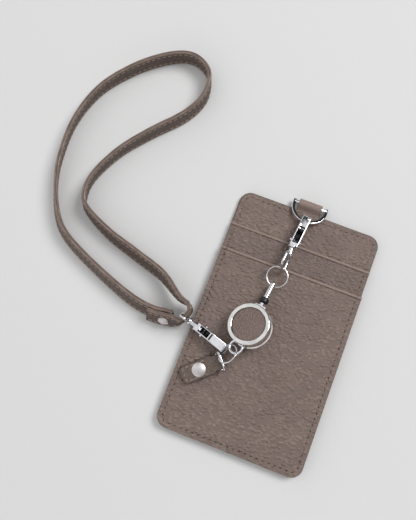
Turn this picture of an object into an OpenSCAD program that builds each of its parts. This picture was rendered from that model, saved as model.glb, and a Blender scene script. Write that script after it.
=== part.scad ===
// Badge wallet of stitched leather, with its ring, snap hooks, cord reel, leather fob and wrist strap.
// The wallet lies on its back. +Z is up, +Y runs to the ring edge, and the origin is on the back face,
// at the middle of the lower border of the window frame.

/* [Wallet] */
// Width of the wallet
wallet_w = 70; // [66:1:90]
// Height of the wallet, from the lower edge to the ring edge
wallet_h = 118; // [112:1:150]
// Radius of the wallet's corners
corner_r = 5.5; // [2:0.5:9]
// Thickness of the back frame's leather
back_t = 0.9; // [0.6:0.1:1.5]
// Thickness of the board between the two faces
board_t = 0.85; // [0.85:0.05:1.5]
// Thickness of the front panel's leather
front_t = 0.9; // [0.6:0.1:1.2]
// Thickness of the upper pocket's leather
upper_pocket_t = 0.8; // [0.6:0.1:1]
// Thickness of the main pocket's leather
main_pocket_t = 0.9; // [0.6:0.1:1]
// Distance from the ring edge down to the upper pocket's mouth
upper_mouth_drop = 17; // [14:0.5:22]
// Distance from the ring edge down to the main pocket's mouth
main_mouth_drop = 29.8; // [25:0.2:48]

/* [Window] */
// Height of the frame's lower border
lower_border = 18; // [12:1:24]
// Height of the frame's upper border
upper_border = 20; // [18:1:26]
// Width of the frame's side borders
side_border = 10; // [8:1:14]
// Radius of the window's corners
window_corner_r = 3; // [1:0.5:6]
// Thickness of the clear sheet
sheet_t = 0.25; // [0.15:0.05:0.35]
// How far the sheet reaches under the frame
sheet_overlap = 3; // [2:0.5:4]
// Room behind the sheet for a card
card_gap = 0.3; // [0.2:0.05:0.4]
// Width of the slit that a card goes in through
slit_w = 56; // [54.5:0.5:60]
// Height of the slit
slit_t = 1.2; // [1:0.1:2]
// Distance from the window to the slit
slit_rise = 8; // [5:1:10]

/* [Ring and its tab] */
// Width of the leather tab
tab_w = 11.3; // [8:0.1:13]
// Thickness of the tab's leather where it is sewn in
tab_t = 0.75; // [0.5:0.05:0.8]
// Thickness of the tab's leather round the bar
tab_loop_t = 0.8; // [0.6:0.1:1]
// Length of the tab that is sewn in
tab_tail_l = 5; // [3:0.5:8]
// Distance from the wallet's left edge to the middle of the ring
ring_inset = 33; // [31:0.5:36]
// How far the bar lies outside the wallet's edge
bar_reach = 3.5; // [3:0.5:5]
// Height of the bar above the back face
bar_height = 2.4; // [2.2:0.1:3]
// Radius of the ring's bar
bar_r = 0.9; // [0.6:0.1:1]
// Half of the width between the ring's arms, from middle to middle
ring_half = 8; // [7:0.5:10]
// Length of the ring's straight arms
ring_arm = 1.5; // [1:0.1:3]
// Width of the ring's band
ring_band_w = 1.7; // [1.2:0.1:1.8]
// Thickness of the ring's band
ring_band_t = 1.3; // [1:0.1:1.4]
// Angle at which the ring leans up from the front
ring_tilt = 20; // [18:1:30]

/* [Snap hooks] */
// Thickness of a hook
hook_t = 4.3; // [3.8:0.1:4.8]
// Inner radius of the jaw
jaw_r = 1.5; // [1.4:0.05:1.8]
// Wall in front of the jaw
nose_wall = 0.9; // [0.7:0.1:1.2]
// Thickness of the spine over the jaw
spine_t = 1.5; // [1.2:0.1:2]
// Thickness of the lip under the jaw
lip_t = 0.8; // [0.6:0.1:1]
// Width of the slot for the lever
slot_w = 3.1; // [2.5:0.1:3.3]
// Length of the open window in the upper hook's spine
upper_window_l = 7.6; // [6:0.1:9]
// Length of the open window in the lower hook's spine
lower_window_l = 5.5; // [5:0.1:7]
// Extra length of the lower hook's head
lower_shank = 2.2; // [1:0.1:4]
// Radius of the lever's pin
pin_r = 0.45; // [0.35:0.05:0.5]
// Angle through which the lever is pressed
lever_swing = 10; // [5:1:12]
// Wire radius of a hook's eye
eye_wire_r = 0.65; // [0.5:0.05:0.7]
// Half of the eye's height, to the middle of its wire
eye_half = 5.5; // [5.5:0.1:6]
// Length of the upper hook's eye
upper_eye_l = 7.2; // [6:0.1:9]
// Length of the lower hook's eye
lower_eye_l = 4.6; // [4.4:0.1:6]
// Turn of the upper hook to the side
upper_yaw = 6.5; // [0:0.5:10]
// Dip of the upper hook's nose
upper_pitch = 11; // [11:0.5:13]
// Turn of the lower hook away from the wallet's length
lower_yaw = 108; // [104:0.5:112]
// Rise of the lower hook's nose
lower_pitch = 3; // [2:0.5:4]
// Roll of the upper hook's eye out of the upright
upper_eye_roll = 14; // [0:1:18]
// Roll of the lower hook's eye out of the upright
lower_eye_roll = 10; // [0:1:14]

/* [Cord and reel] */
// Middle radius of the thin ring between the hook and the cord
link_r = 4.9; // [4.5:0.1:6]
// Wire radius of that ring
link_wire_r = 0.35; // [0.25:0.05:0.4]
// Radius of the cord
cord_r = 0.25; // [0.2:0.05:0.3]
// Radius of the metal tube on the cord's end
tube_r = 1.3; // [1:0.05:1.5]
// Length of the tube
tube_l = 7.8; // [6:0.1:9]
// Radius of the black stop bead
bead_r = 2.05; // [1.6:0.05:2.6]
// Length of the bead
bead_l = 2.4; // [1.6:0.1:3]
// Radius of the reel
reel_r = 9.8; // [9.6:0.1:11]
// Thickness of the reel
reel_t = 7.6; // [7.4:0.1:8]
// Width of the bright rim round the leather inlay
rim_w = 2; // [1.2:0.1:2.4]
// Middle radius of the reel's bail
bail_r = 3; // [2.8:0.1:3.4]
// Wire radius of the bail
bail_wire_r = 0.6; // [0.5:0.05:0.65]
// Turn of the reel to the side
reel_yaw = 9; // [5:1:12]
// Lean of the reel's face
reel_lean = 21; // [15:1:24]

/* [Fob] */
// Length of the folded fob, from its bar
fob_l = 18; // [15:0.5:22]
// Width of the fob
fob_w = 8.5; // [7:0.5:9]
// Thickness of the fob's leather
fob_leather_t = 1.1; // [0.8:0.1:1.2]
// Radius of the rivet's cap
fob_cap_r = 3.2; // [2.6:0.1:3.6]
// Middle radius of the thin ring that holds the lower hook and the fob
fob_link_r = 4.7; // [4.6:0.05:4.9]

/* [Wrist strap] */
// Width of the strap
strap_w = 9.2; // [8:0.1:9.2]
// Thickness of the strap, its two plies together
strap_t = 2.1; // [1.8:0.1:2.1]
// Reach of the loop to the side of the hook's eye
loop_reach = 85; // [80:1:95]
// Reach of the loop along the wallet's height
loop_height = 121.5; // [115:0.5:130]
// Radius of the strap rivet's cap
strap_cap_r = 2.5; // [2:0.1:2.8]

/* [Hidden] */
$fn = 64;

// Overrun of a cut past the face that it opens
over = 0.5;
// Clearance between pieces that lie side by side
gap = 0.1;
// Clearance of a pin that is pressed in
press_gap = 0.02;

// Heights of the wallet's layers
board_z = back_t;
front_z = board_z + board_t;
upper_pocket_z = front_z + front_t;
main_pocket_z = upper_pocket_z + upper_pocket_t;
lower_y = -lower_border / 2;
ring_edge_y = lower_y + wallet_h;
upper_mouth_h = wallet_h - upper_mouth_drop;
main_mouth_h = wallet_h - main_mouth_drop;
window_w = wallet_w - 2 * side_border;
window_y = lower_y + lower_border;
window_h = wallet_h - lower_border - upper_border;
sheet_w = window_w + 2 * sheet_overlap;
sheet_y = window_y - sheet_overlap;
sheet_h = window_h + 2 * sheet_overlap;
sheet_gap = 0.5;
slit_y = window_y + window_h + slit_rise;

// The bar, the ring and the place where the upper hook sits in it
bar = [ring_inset - wallet_w / 2, ring_edge_y + bar_reach, bar_height];
bar_gap = 0.25;
tab_in_r = bar_r + bar_gap;
tab_out_r = tab_in_r + tab_loop_t;
ring_band_round = 0.4;
ring_horn_l = 1;
ring_depth = ring_arm + ring_half;

// The hooks: heights and places along the length, measured back from the jaw
spine_z = jaw_r + spine_t;
lip_z = -jaw_r - lip_t;
jaw_play = 0.35;
jaw_back = 1.9;
lip_end = 0.75;
edge_round = 0.55;
head_end = 4.3;
groove_l = 0.8;
groove_depth = 0.8;
rib_l = 0.6;
rear_wall = 1.6;
flange_r = 2.4;
flange_l = 0.8;
axis_z = 0.35;
lever_gap = 0.1;
lever_w = slot_w - 2 * lever_gap;
lever_eye_r = 1.3;
pin_z = -0.6;
head_gap = 0.2;
pin_head_r = 0.8;
pin_head_l = 0.65;
pin_running_gap = 0.05;
gate_top = lip_z + lip_t + gap;
gate_low = lip_z + gap;
gate_tip = 1.35;
thumb_drop = 1;
spring_in_r = 0.55;
spring_out_r = 0.95;
spring_w = 0.9;
spring_leg_r = 0.18;
spring_leg_l = 2.4;
pocket_gap = 0.15;
stem_r = 0.64;
stem_bore_r = 0.72;
stem_head_r = 0.9;
stem_head_l = 0.6;
neck_r = 1.2;
neck_l = 2.75;
neck_gap = 0.12;
disc_r = 2;
disc_l = 0.8;
eye_front_round = 2.4;
eye_back_round = 1.6;

// A hook's own sizes: extra length of the head, length of the window, length of the eye
upper_sizes = [0, upper_window_l, upper_eye_l];
lower_sizes = [lower_shank, lower_window_l, lower_eye_l];
function window_start(sizes) = head_end + sizes[0] + groove_l + rib_l;
function channel_end(sizes) = window_start(sizes) + sizes[1];
function pin_place(sizes) = channel_end(sizes) - gap - stem_head_l - head_gap - lever_eye_r;
function flange_start(sizes) = channel_end(sizes) + rear_wall;
function flange_end(sizes) = flange_start(sizes) + flange_l;
function eye_start(sizes) = flange_end(sizes) + neck_gap + neck_l + disc_l;

// A vector turned about X, then Y, then Z
function turn_x(v, a) = [v.x, v.y * cos(a) - v.z * sin(a), v.y * sin(a) + v.z * cos(a)];
function turn_y(v, a) = [v.x * cos(a) + v.z * sin(a), v.y, v.z * cos(a) - v.x * sin(a)];
function turn_z(v, a) = [v.x * cos(a) - v.y * sin(a), v.x * sin(a) + v.y * cos(a), v.z];
function turned(v, a) = turn_z(turn_y(turn_x(v, a.x), a.y), a.z);

upper_turn = [-upper_pitch, 0, -upper_yaw];
upper_seat = bar + turn_x([0, -ring_depth, 0], -ring_tilt);
upper_eye_end = upper_seat + turned([0, -eye_start(upper_sizes) - upper_eye_l, axis_z], upper_turn);

// The thin ring lies flat and hangs on the upper eye's end; the cord's end hangs in the ring
link_drop = 2.9;
link_gap = 0.12;
link_yaw = 18;
hang_yaw = 9;
link_hold = upper_eye_end + turned(turn_y([0, 0, -link_drop], -upper_eye_roll), upper_turn);
link_centre = link_hold + (eye_wire_r + link_wire_r + link_gap - link_r) * turn_z([0, 1, 0], -link_yaw);
cord_hole = link_centre - link_r * turn_z([0, 1, 0], -hang_yaw);
cord_turn = [-13, 0, -8];
cord_hole_r = 0.55;
cap_l = 0.9;
bead_gap = 0.3;
cord_out = tube_l - cap_l + 2 * bead_gap + bead_l;
mouth = cord_hole - turned([0, cord_out, 0], cord_turn);

// The reel, in its own frame: +Y to the cord, +Z to the leather face
case_step = 0.3;
case_r = reel_r - case_step;
case_wall = 0.7;
rim_h = 1.4;
cover_h = 1.2;
cover_bevel = 1;
cover_edge_h = 0.6;
case_top_t = 0.8;
reel_top = reel_t / 2;
case_top = reel_top - rim_h;
cover_top = cover_h - reel_top;
inlay_h = 0.9;
inlay_round = 0.3;
arbor_r = 1;
spool_gap = 0.06;
spool_r = 8.2;
flange_t = 0.3;
groove_half = 0.65;
drum_r = 4;
barrel_r = 6.7;
barrel_wall = 0.5;
spool_low = cover_top + 0.2 * case_top_t;
wound_r = 7.4;
wound_gap = 0.05;
spring_turns = 6;
spring_strip_t = 0.25;
mainspring_in_r = 1.3;
mainspring_out_r = 5.9;
mainspring_h = 1.2;
nozzle_l = 2.4;
nozzle_r = 1.3;
nozzle_lug_w = 5.4;
nozzle_lug_h = 2.6;
nozzle_lug_l = 1.1;
nozzle_bore_r = 0.6;
mouth_y = case_r + nozzle_l;
reel_pitch = 5;
bail_turn = 5;
bail_gap = 1.9;
bail_out = case_r + bail_gap;
reel_centre = mouth - turned(turn_y([0, mouth_y, 0], -reel_lean), [-reel_pitch, 0, -reel_yaw]);
function in_reel(v) = reel_centre + turned(turn_y(v, -reel_lean), [-reel_pitch, 0, -reel_yaw]);
bail_centre = turn_z([0, -bail_out, 0], -bail_turn);

// The thin ring through the bail; the lower hook and the fob's ring hang on it
fob_link_wire_r = 0.35;
fob_link_out = [-2.55, -4.15, -0.58];
fob_link_turn = [-10.2, -44.3, -9];
hook_angle = 162;
low_angle = 216;
fob_link_centre = in_reel(bail_centre) + fob_link_out;
function on_fob_link(angle) = fob_link_centre + turned(turn_z([fob_link_r, 0, 0], angle), fob_link_turn);

// The lower hook's seat on that ring, and its eye's end
seat_play = 0.35;
lower_turn = [lower_pitch, 0, -lower_yaw];
lower_seat = on_fob_link(hook_angle) + turned([0, -seat_play, 0], lower_turn);
lower_eye_end = lower_seat + turned([0, -eye_start(lower_sizes) - lower_eye_l, axis_z], lower_turn);

// The fob: a small ring on the thin ring, and the folded leather
fob_bar_r = 0.6;
fob_ring_half = 4.4;
fob_ring_depth = 3.9;
fob_ring_round = 2.2;
fob_turn = [3.6, 1.7, -48];
fob_ring_turn = 65.8;
fob_bar_out = [1.17, -2.58, -2.31];
fob_gap = 0.15;
fob_in_r = fob_bar_r + fob_gap;
fob_out_r = fob_in_r + fob_leather_t;
fob_taper_l = 3.5;
fob_neck_l = 2.2;
fob_neck_w = 7;
fob_corner_r = 2;
fob_rivet_place = 9.8;
rivet_post_r = 0.9;
rivet_gap = 0.05;
cap_edge_t = 0.35;
cap_dome_h = 0.75;
rivet_back_r = 2.2;
rivet_back_t = 0.5;
fob_bar = on_fob_link(low_angle) + fob_bar_out;

// The strap: places along it as shares of the loop's reach and height, measured from the eye's end,
// with the lean of its upper edge out of the loop and its lift off the table as a share of its width
loop_shares = [
    [-0.167, -0.030, -30, 0.06], [-0.308, -0.014, -28, 0.03], [-0.546, 0.046, -24, 0],
    [-0.758, 0.116, -22, 0], [-0.862, 0.184, -20, 0], [-0.942, 0.293, -15, 0], [-0.988, 0.413, -10, 0],
    [-0.996, 0.579, -6, 0], [-0.929, 0.742, 0, 0], [-0.784, 0.877, 4, 0], [-0.624, 0.967, 6, 0],
    [-0.500, 0.999, 6, 0], [-0.400, 0.977, 4, 0], [-0.351, 0.929, 0, 0], [-0.344, 0.844, -8, 0],
    [-0.408, 0.751, -10, 0], [-0.552, 0.637, -8, 0], [-0.680, 0.519, -4, 0], [-0.764, 0.389, 0, 0],
    [-0.767, 0.299, 6, 0], [-0.713, 0.248, 14, 0], [-0.555, 0.193, 22, 0], [-0.360, 0.151, 26, 0.04],
    [-0.182, 0.112, 24, 0.14]];
// Places near the eye's end, in strap thicknesses from it, with the lean and the height over it
// as a share of the strap's width: the inner end, and the fold with the tail that is riveted on
inner_shares = [[-1.70, -0.95, -20, -0.20], [-3.30, -1.30, -28, -0.23]];
fold_shares = [[-1.95, 3.25, 10, 0.14], [0.55, 2.45, 0, 0.11], [1.42, 1.25, -4, 0.07],
    [1.02, 0.00, 0, 0.02], [0.24, -1.45, -5, -0.05], [-1.45, -2.10, -28, -0.10],
    [-3.40, -2.44, -30, -0.12], [-5.30, -2.62, -30, -0.14], [-7.30, -2.70, -30, -0.16]];
strap_floor_gap = 0.05;
strap_steps = 5;
edge_shares = [[0.5, 0.36], [0.24, 0.5], [-0.24, 0.5], [-0.5, 0.36],
    [-0.5, -0.36], [-0.24, -0.5], [0.24, -0.5], [0.5, -0.36]];
rivet_row = 6;

leather = "rosybrown";
edge_leather = "sienna";
chrome = "silver";
black = "dimgray";

// A shape in the Y-Z plane, given as (y, z), with its width along X
module across(w) {
    translate([-w / 2, 0, 0])
        rotate([90, 0, 90])
            linear_extrude(w)
                children();
}

// A cylinder along Y, from y0 to y1
module rod(y0, y1, r) {
    translate([0, y0, 0])
        rotate([-90, 0, 0])
            cylinder(h = y1 - y0, r = r);
}

// A cylinder along X, centred
module axle(l, r) {
    rotate([0, 90, 0])
        cylinder(h = l, r = r, center = true);
}

module torus(ring_r, wire_r) {
    rotate_extrude()
        translate([ring_r, 0])
            circle(wire_r);
}

// A rectangle with round corners, from its lower left corner
module rounded(w, h, r) {
    translate([r, 0])
        square([w - 2 * r, h]);
    translate([0, r])
        square([w, h - 2 * r]);
    for (x = [r, w - r], y = [r, h - r])
        translate([x, y])
            circle(r);
}

// The wallet's plan up to a pocket's mouth, with round lower corners
module pocket_plan(h) {
    translate([-wallet_w / 2, lower_y + corner_r])
        square([wallet_w, h - corner_r]);
    translate([corner_r - wallet_w / 2, lower_y])
        square([wallet_w - 2 * corner_r, h]);
    for (side = [-1, 1])
        translate([side * (wallet_w / 2 - corner_r), lower_y + corner_r])
            circle(corner_r);
}

module wallet_plan() {
    translate([-wallet_w / 2, lower_y])
        rounded(wallet_w, wallet_h, corner_r);
}

// A pocket's leather, with its mouth turned over to a round edge
module pocket(z, t, mouth_h) {
    color(leather)
        translate([0, 0, z]) {
            linear_extrude(t)
                pocket_plan(mouth_h - t / 2);
            translate([0, lower_y + mouth_h - t / 2, t / 2])
                axle(wallet_w, t / 2);
        }
}

module back_frame() {
    color(leather)
        linear_extrude(back_t)
            difference() {
                wallet_plan();
                translate([-window_w / 2, window_y])
                    rounded(window_w, window_h, window_corner_r);
                translate([-slit_w / 2, slit_y])
                    rounded(slit_w, slit_t, slit_t / 2);
            }
}

module id_window() {
    color("lightcyan", 0.4)
        translate([-sheet_w / 2, sheet_y, board_z])
            linear_extrude(sheet_t)
                rounded(sheet_w, sheet_h, window_corner_r);
}

module centre_board() {
    color(edge_leather)
        difference() {
            translate([0, 0, board_z])
                linear_extrude(board_t)
                    wallet_plan();
            translate([-sheet_w / 2 - sheet_gap, sheet_y - sheet_gap, board_z - over])
                linear_extrude(over + sheet_t + card_gap)
                    rounded(sheet_w + 2 * sheet_gap, sheet_h + 2 * sheet_gap, window_corner_r);
            translate([bar.x - tab_w / 2 - gap, ring_edge_y - tab_tail_l - gap, board_z - over])
                cube([tab_w + 2 * gap, tab_tail_l + gap + over, board_t + 2 * over]);
        }
}

module front_panel() {
    color(leather)
        translate([0, 0, front_z])
            linear_extrude(front_t)
                wallet_plan();
}

module upper_pocket() {
    pocket(upper_pocket_z, upper_pocket_t, upper_mouth_h);
}

module main_pocket() {
    pocket(main_pocket_z, main_pocket_t, main_mouth_h);
}

// The tab lies in the board's notch and goes round the ring's bar
module loop_tab() {
    tail_z = board_z + (board_t - tab_t) / 2;
    color(leather)
        translate([bar.x, 0, 0])
            across(tab_w)
                difference() {
                    union() {
                        translate([bar.y, bar.z])
                            circle(tab_out_r);
                        polygon([[ring_edge_y - tab_tail_l, tail_z], [ring_edge_y, tail_z],
                            [bar.y, bar.z - tab_out_r], [bar.y, bar.z + tab_out_r],
                            [ring_edge_y, tail_z + tab_t], [ring_edge_y - tab_tail_l, tail_z + tab_t]]);
                    }
                    translate([bar.y, bar.z])
                        circle(tab_in_r);
                }
}

// The ring's band, across its arms and its arc, centred on its middle line
module band_section() {
    translate([-ring_band_w / 2, -ring_band_t / 2])
        rounded(ring_band_w, ring_band_t, ring_band_round);
}

module d_ring() {
    color(chrome)
        translate(bar)
            rotate([-ring_tilt, 0, 0]) {
                axle(2 * ring_half, bar_r);
                translate([0, -ring_arm, 0])
                    rotate([0, 0, 180])
                        rotate_extrude(angle = 180)
                            translate([ring_half, 0])
                                band_section();
                for (side = [-1, 1])
                    translate([side * ring_half, ring_horn_l, 0])
                        rotate([90, 0, 0])
                            linear_extrude(ring_horn_l + ring_arm)
                                band_section();
            }
}

// Top of the lever's slot in the head: the gate's top edge at full press, and a clearance
function slot_top(sizes) = gate_top + (pin_place(sizes) - jaw_back) * sin(lever_swing) + pocket_gap;

// Outline of a hook as (y, z), with its open jaw
module hook_outline(sizes) {
    nose_r = (spine_z - lip_z) / 2;
    nose_y = jaw_play + jaw_r + nose_wall - nose_r;
    difference() {
        union() {
            translate([nose_y, (spine_z + lip_z) / 2])
                circle(nose_r);
            translate([-flange_start(sizes), lip_z])
                square([flange_start(sizes) + nose_y, spine_z - lip_z]);
        }
        for (y = [jaw_play, -jaw_back])
            translate([y, 0])
                circle(jaw_r);
        translate([-jaw_back, -jaw_r])
            square([jaw_back + jaw_play, 2 * jaw_r]);
        translate([-jaw_back - jaw_r, lip_z - over])
            square([jaw_back + jaw_r - lip_end, over - lip_z]);
    }
}

// A hook's body, jaw at the origin, with the slot, window, pin holes and swivel bore
module hook_body(sizes) {
    front = jaw_r + jaw_play + nose_wall + over;
    color(chrome)
        difference() {
            union() {
                intersection() {
                    across(hook_t)
                        hook_outline(sizes);
                    translate([0, front, 0])
                        rotate([90, 0, 0])
                            linear_extrude(front + flange_start(sizes) + over)
                                translate([-hook_t / 2, lip_z])
                                    rounded(hook_t, spine_z - lip_z, edge_round);
                }
                translate([0, 0, axis_z])
                    rod(-flange_end(sizes), -flange_start(sizes), flange_r);
            }
            translate([-slot_w / 2, -channel_end(sizes), lip_z - over])
                cube([slot_w, sizes[1], spine_z - lip_z + 2 * over]);
            translate([-slot_w / 2, -window_start(sizes) - over, lip_z - over])
                cube([slot_w, window_start(sizes) + over - jaw_back, slot_top(sizes) - lip_z + over]);
            translate([-slot_w / 2, -head_end - sizes[0] - groove_l, spine_z - groove_depth])
                cube([slot_w, groove_l, groove_depth + over]);
            translate([0, -pin_place(sizes), pin_z])
                axle(hook_t + 2 * over, pin_r + press_gap);
            translate([0, 0, axis_z])
                rod(-flange_end(sizes) - over, -channel_end(sizes) + over, stem_bore_r);
        }
}

// The lever: gate arm under the jaw, thumb ridge below, and an eye round the pin, open above its spring
module hook_lever(sizes) {
    eye_y = -pin_place(sizes);
    arm_y = -window_start(sizes);
    ridge_y = (eye_y + arm_y) / 2;
    color(black)
        difference() {
            across(lever_w) {
                translate([eye_y, pin_z])
                    circle(lever_eye_r);
                polygon([[eye_y, pin_z - lever_eye_r], [eye_y + lever_eye_r, gate_low], [-gate_tip, gate_low],
                    [-gate_tip, gate_top], [arm_y, gate_top], [ridge_y - lever_eye_r / 2, pin_z + pin_r],
                    [eye_y, pin_z + lever_eye_r]]);
                polygon([[ridge_y - lever_eye_r, gate_low],
                    [ridge_y - lever_eye_r / 2, gate_low - thumb_drop],
                    [ridge_y + lever_eye_r / 2, gate_low - thumb_drop],
                    [ridge_y + lever_eye_r, gate_low]]);
            }
            translate([0, eye_y, pin_z]) {
                axle(hook_t, pin_r + pin_running_gap);
                axle(spring_w + 2 * gap, spring_out_r + pocket_gap);
                translate([-spring_w / 2 - gap, -lever_eye_r - gap, 0])
                    cube([spring_w + 2 * gap, lever_eye_r + gap + spring_out_r, lever_eye_r + gap]);
            }
        }
}

module hook_pin(sizes) {
    color(chrome)
        translate([0, -pin_place(sizes), pin_z]) {
            axle(hook_t + 2 * pin_head_l, pin_r);
            for (side = [-1, 1])
                translate([side * (hook_t + pin_head_l) / 2, 0, 0])
                    axle(pin_head_l, pin_head_r);
        }
}

module hook_spring(sizes) {
    leg_y = (spring_in_r + spring_out_r) / 2;
    color("gray")
        translate([0, -pin_place(sizes), pin_z])
            difference() {
                union() {
                    axle(spring_w, spring_out_r);
                    translate([0, -leg_y, 0])
                        cylinder(h = spring_leg_l, r = spring_leg_r);
                }
                axle(spring_w + 2 * over, spring_in_r);
            }
}

// A closed wire loop in the Y-Z plane, straight at both ends, with round corners
module wire_loop(front, back, front_round, back_round) {
    rotate([90, 0, 90]) {
        for (side = [-1, 1]) {
            translate([back + back_round, side * eye_half, 0])
                rotate([0, 90, 0])
                    cylinder(h = front - back - front_round - back_round, r = eye_wire_r);
            translate([front - front_round, side * (eye_half - front_round), 0])
                rotate([0, 0, side > 0 ? 0 : -90])
                    rotate_extrude(angle = 90)
                        translate([front_round, 0])
                            circle(eye_wire_r);
            translate([back + back_round, side * (eye_half - back_round), 0])
                rotate([0, 0, side > 0 ? 90 : 180])
                    rotate_extrude(angle = 90)
                        translate([back_round, 0])
                            circle(eye_wire_r);
        }
        translate([front, front_round - eye_half, 0])
            rotate([-90, 0, 0])
                cylinder(h = 2 * (eye_half - front_round), r = eye_wire_r);
        translate([back, back_round - eye_half, 0])
            rotate([-90, 0, 0])
                cylinder(h = 2 * (eye_half - back_round), r = eye_wire_r);
    }
}

// The swivel eye: head, stem, neck, collar and the loop, all one turned and bent piece
module swivel_eye(sizes) {
    head_y = gap - channel_end(sizes);
    neck_y = -flange_end(sizes) - neck_gap;
    color(chrome) {
        rod(head_y, head_y + stem_head_l, stem_head_r);
        rod(neck_y - neck_l, head_y + stem_head_l / 2, stem_r);
        rod(neck_y - neck_l, neck_y, neck_r);
        rod(-eye_start(sizes), disc_l - eye_start(sizes), disc_r);
        wire_loop(-eye_start(sizes), -eye_start(sizes) - sizes[2], eye_front_round, eye_back_round);
    }
}

module on_upper_hook() {
    translate(upper_seat)
        rotate(upper_turn)
            children();
}

module on_lower_hook() {
    translate(lower_seat)
        rotate(lower_turn)
            children();
}

module on_axis(roll) {
    translate([0, 0, axis_z])
        rotate([0, roll, 0])
            children();
}

module upper_hook_body() {
    on_upper_hook()
        hook_body(upper_sizes);
}

module upper_lever() {
    on_upper_hook()
        hook_lever(upper_sizes);
}

module upper_lever_pin() {
    on_upper_hook()
        hook_pin(upper_sizes);
}

module upper_lever_spring() {
    on_upper_hook()
        hook_spring(upper_sizes);
}

module upper_eye() {
    on_upper_hook()
        on_axis(-upper_eye_roll)
            swivel_eye(upper_sizes);
}

module jump_ring() {
    color(chrome)
        translate(link_centre)
            torus(link_r, link_wire_r);
}

module on_cord() {
    translate(cord_hole)
        rotate(cord_turn)
            children();
}

module cord_end_tube() {
    color(chrome)
        on_cord()
            difference() {
                rod(cap_l - tube_l, cap_l, tube_r);
                axle(2 * tube_r + over, cord_hole_r);
                rod(cap_l - tube_l - over, -cap_l, cord_r + gap);
            }
}

module cord_stopper() {
    color(black)
        on_cord()
            translate([0, cap_l - tube_l - bead_gap - bead_l, 0])
                rotate([-90, 0, 0])
                    rotate_extrude()
                        difference() {
                            translate([-bead_r, 0])
                                rounded(2 * bead_r, bead_l, bead_l / 4);
                            translate([-bead_r - over, -over])
                                square([bead_r + over + cord_r + gap, bead_l + 2 * over]);
                        }
}

module cord_core() {
    color("black")
        on_cord()
            rod(-cord_out, -cap_l - gap, cord_r);
}

module on_reel() {
    translate(reel_centre)
        rotate([-reel_pitch, 0, -reel_yaw])
            rotate([0, -reel_lean, 0])
                children();
}

// A tube along the reel's axis, from z0 to z1
module ring_wall(z0, z1, out_r, in_r) {
    translate([0, 0, z0])
        difference() {
            cylinder(h = z1 - z0, r = out_r);
            translate([0, 0, -over])
                cylinder(h = z1 - z0 + 2 * over, r = in_r);
        }
}

module reel_back_cover() {
    color(chrome)
        on_reel() {
            translate([0, 0, cover_top - cover_edge_h])
                cylinder(h = cover_edge_h, r = reel_r);
            translate([0, 0, -reel_top])
                cylinder(h = cover_h - cover_edge_h, r1 = reel_r - cover_bevel, r2 = reel_r);
        }
}

module reel_case() {
    color(chrome)
        on_reel()
            difference() {
                union() {
                    ring_wall(cover_top, case_top, case_r, case_r - case_wall);
                    translate([0, 0, case_top - case_top_t])
                        cylinder(h = case_top_t, r = case_r - case_wall / 2);
                }
                rod(case_r - case_wall - over, case_r + over, nozzle_bore_r);
            }
}

module reel_bezel() {
    color(chrome)
        on_reel()
            translate([0, 0, case_top])
                rotate_extrude()
                    translate([reel_r - rim_w, 0])
                        rounded(rim_w, rim_h, min(rim_w, rim_h) / 3);
}

module reel_inlay() {
    color(leather)
        on_reel()
            translate([0, 0, case_top])
                rotate_extrude()
                    difference() {
                        translate([-reel_r + rim_w + gap, 0])
                            rounded(2 * (reel_r - rim_w - gap), inlay_h, inlay_round);
                        translate([-reel_r, -over])
                            square([reel_r, inlay_h + 2 * over]);
                    }
}

module reel_arbor() {
    color(chrome)
        on_reel()
            translate([0, 0, cover_top])
                cylinder(h = case_top - case_top_t - gap - cover_top, r = arbor_r);
}

// A flat spiral strip, wound out from the arbor
module reel_mainspring() {
    pitch = (mainspring_out_r - mainspring_in_r) / spring_turns;
    steps = 24 * spring_turns;
    function at(i, r0) = (r0 + pitch * spring_turns * i / steps)
        * [cos(360 * spring_turns * i / steps), sin(360 * spring_turns * i / steps)];
    inner = [for (i = [0:steps]) at(i, mainspring_in_r)];
    outer = [for (i = [steps:-1:0]) at(i, mainspring_in_r + spring_strip_t)];
    color("gray")
        on_reel()
            translate([0, 0, spool_low + gap])
                linear_extrude(mainspring_h)
                    polygon(concat(inner, outer));
}

// The spool: drum between two flanges, with the spring's barrel under it
module reel_spool() {
    color("whitesmoke")
        on_reel() {
            for (z = [-groove_half - flange_t, groove_half])
                ring_wall(z, z + flange_t, spool_r, arbor_r + spool_gap);
            ring_wall(-groove_half, groove_half, drum_r, arbor_r + spool_gap);
            ring_wall(spool_low, -groove_half - flange_t, barrel_r, barrel_r - barrel_wall);
        }
}

module wound_cord() {
    color("black")
        on_reel()
            ring_wall(wound_gap - groove_half, groove_half - wound_gap, wound_r, drum_r + wound_gap);
}

// The cord from the winding to the nozzle's mouth, bent where it enters the nozzle
module pull_cord() {
    bend_y = case_r - case_wall - cord_r;
    lift_r = wound_r + cord_r + wound_gap;
    lift_angle = acos(lift_r / bend_y);
    color("black")
        on_reel() {
            rod(bend_y, mouth_y, cord_r);
            translate([0, bend_y, 0])
                sphere(cord_r);
            translate([0, bend_y, 0])
                rotate([0, 0, 180 + lift_angle])
                    rotate([0, 90, 0])
                        cylinder(h = bend_y * sin(lift_angle), r = cord_r);
        }
}

module reel_nozzle() {
    color(chrome)
        on_reel()
            difference() {
                union() {
                    translate([-nozzle_lug_w / 2, case_r - over, -nozzle_lug_h / 2])
                        cube([nozzle_lug_w, nozzle_lug_l + over, nozzle_lug_h]);
                    rod(case_r - over, mouth_y, nozzle_r);
                }
                translate([0, 0, -reel_t])
                    cylinder(h = 2 * reel_t, r = case_r + press_gap);
                rod(0, mouth_y + over, nozzle_bore_r);
            }
}

module reel_bail() {
    color(chrome)
        on_reel()
            difference() {
                translate(bail_centre)
                    torus(bail_r, bail_wire_r);
                translate([0, 0, -reel_t])
                    cylinder(h = 2 * reel_t, r = case_r + press_gap);
            }
}

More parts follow.
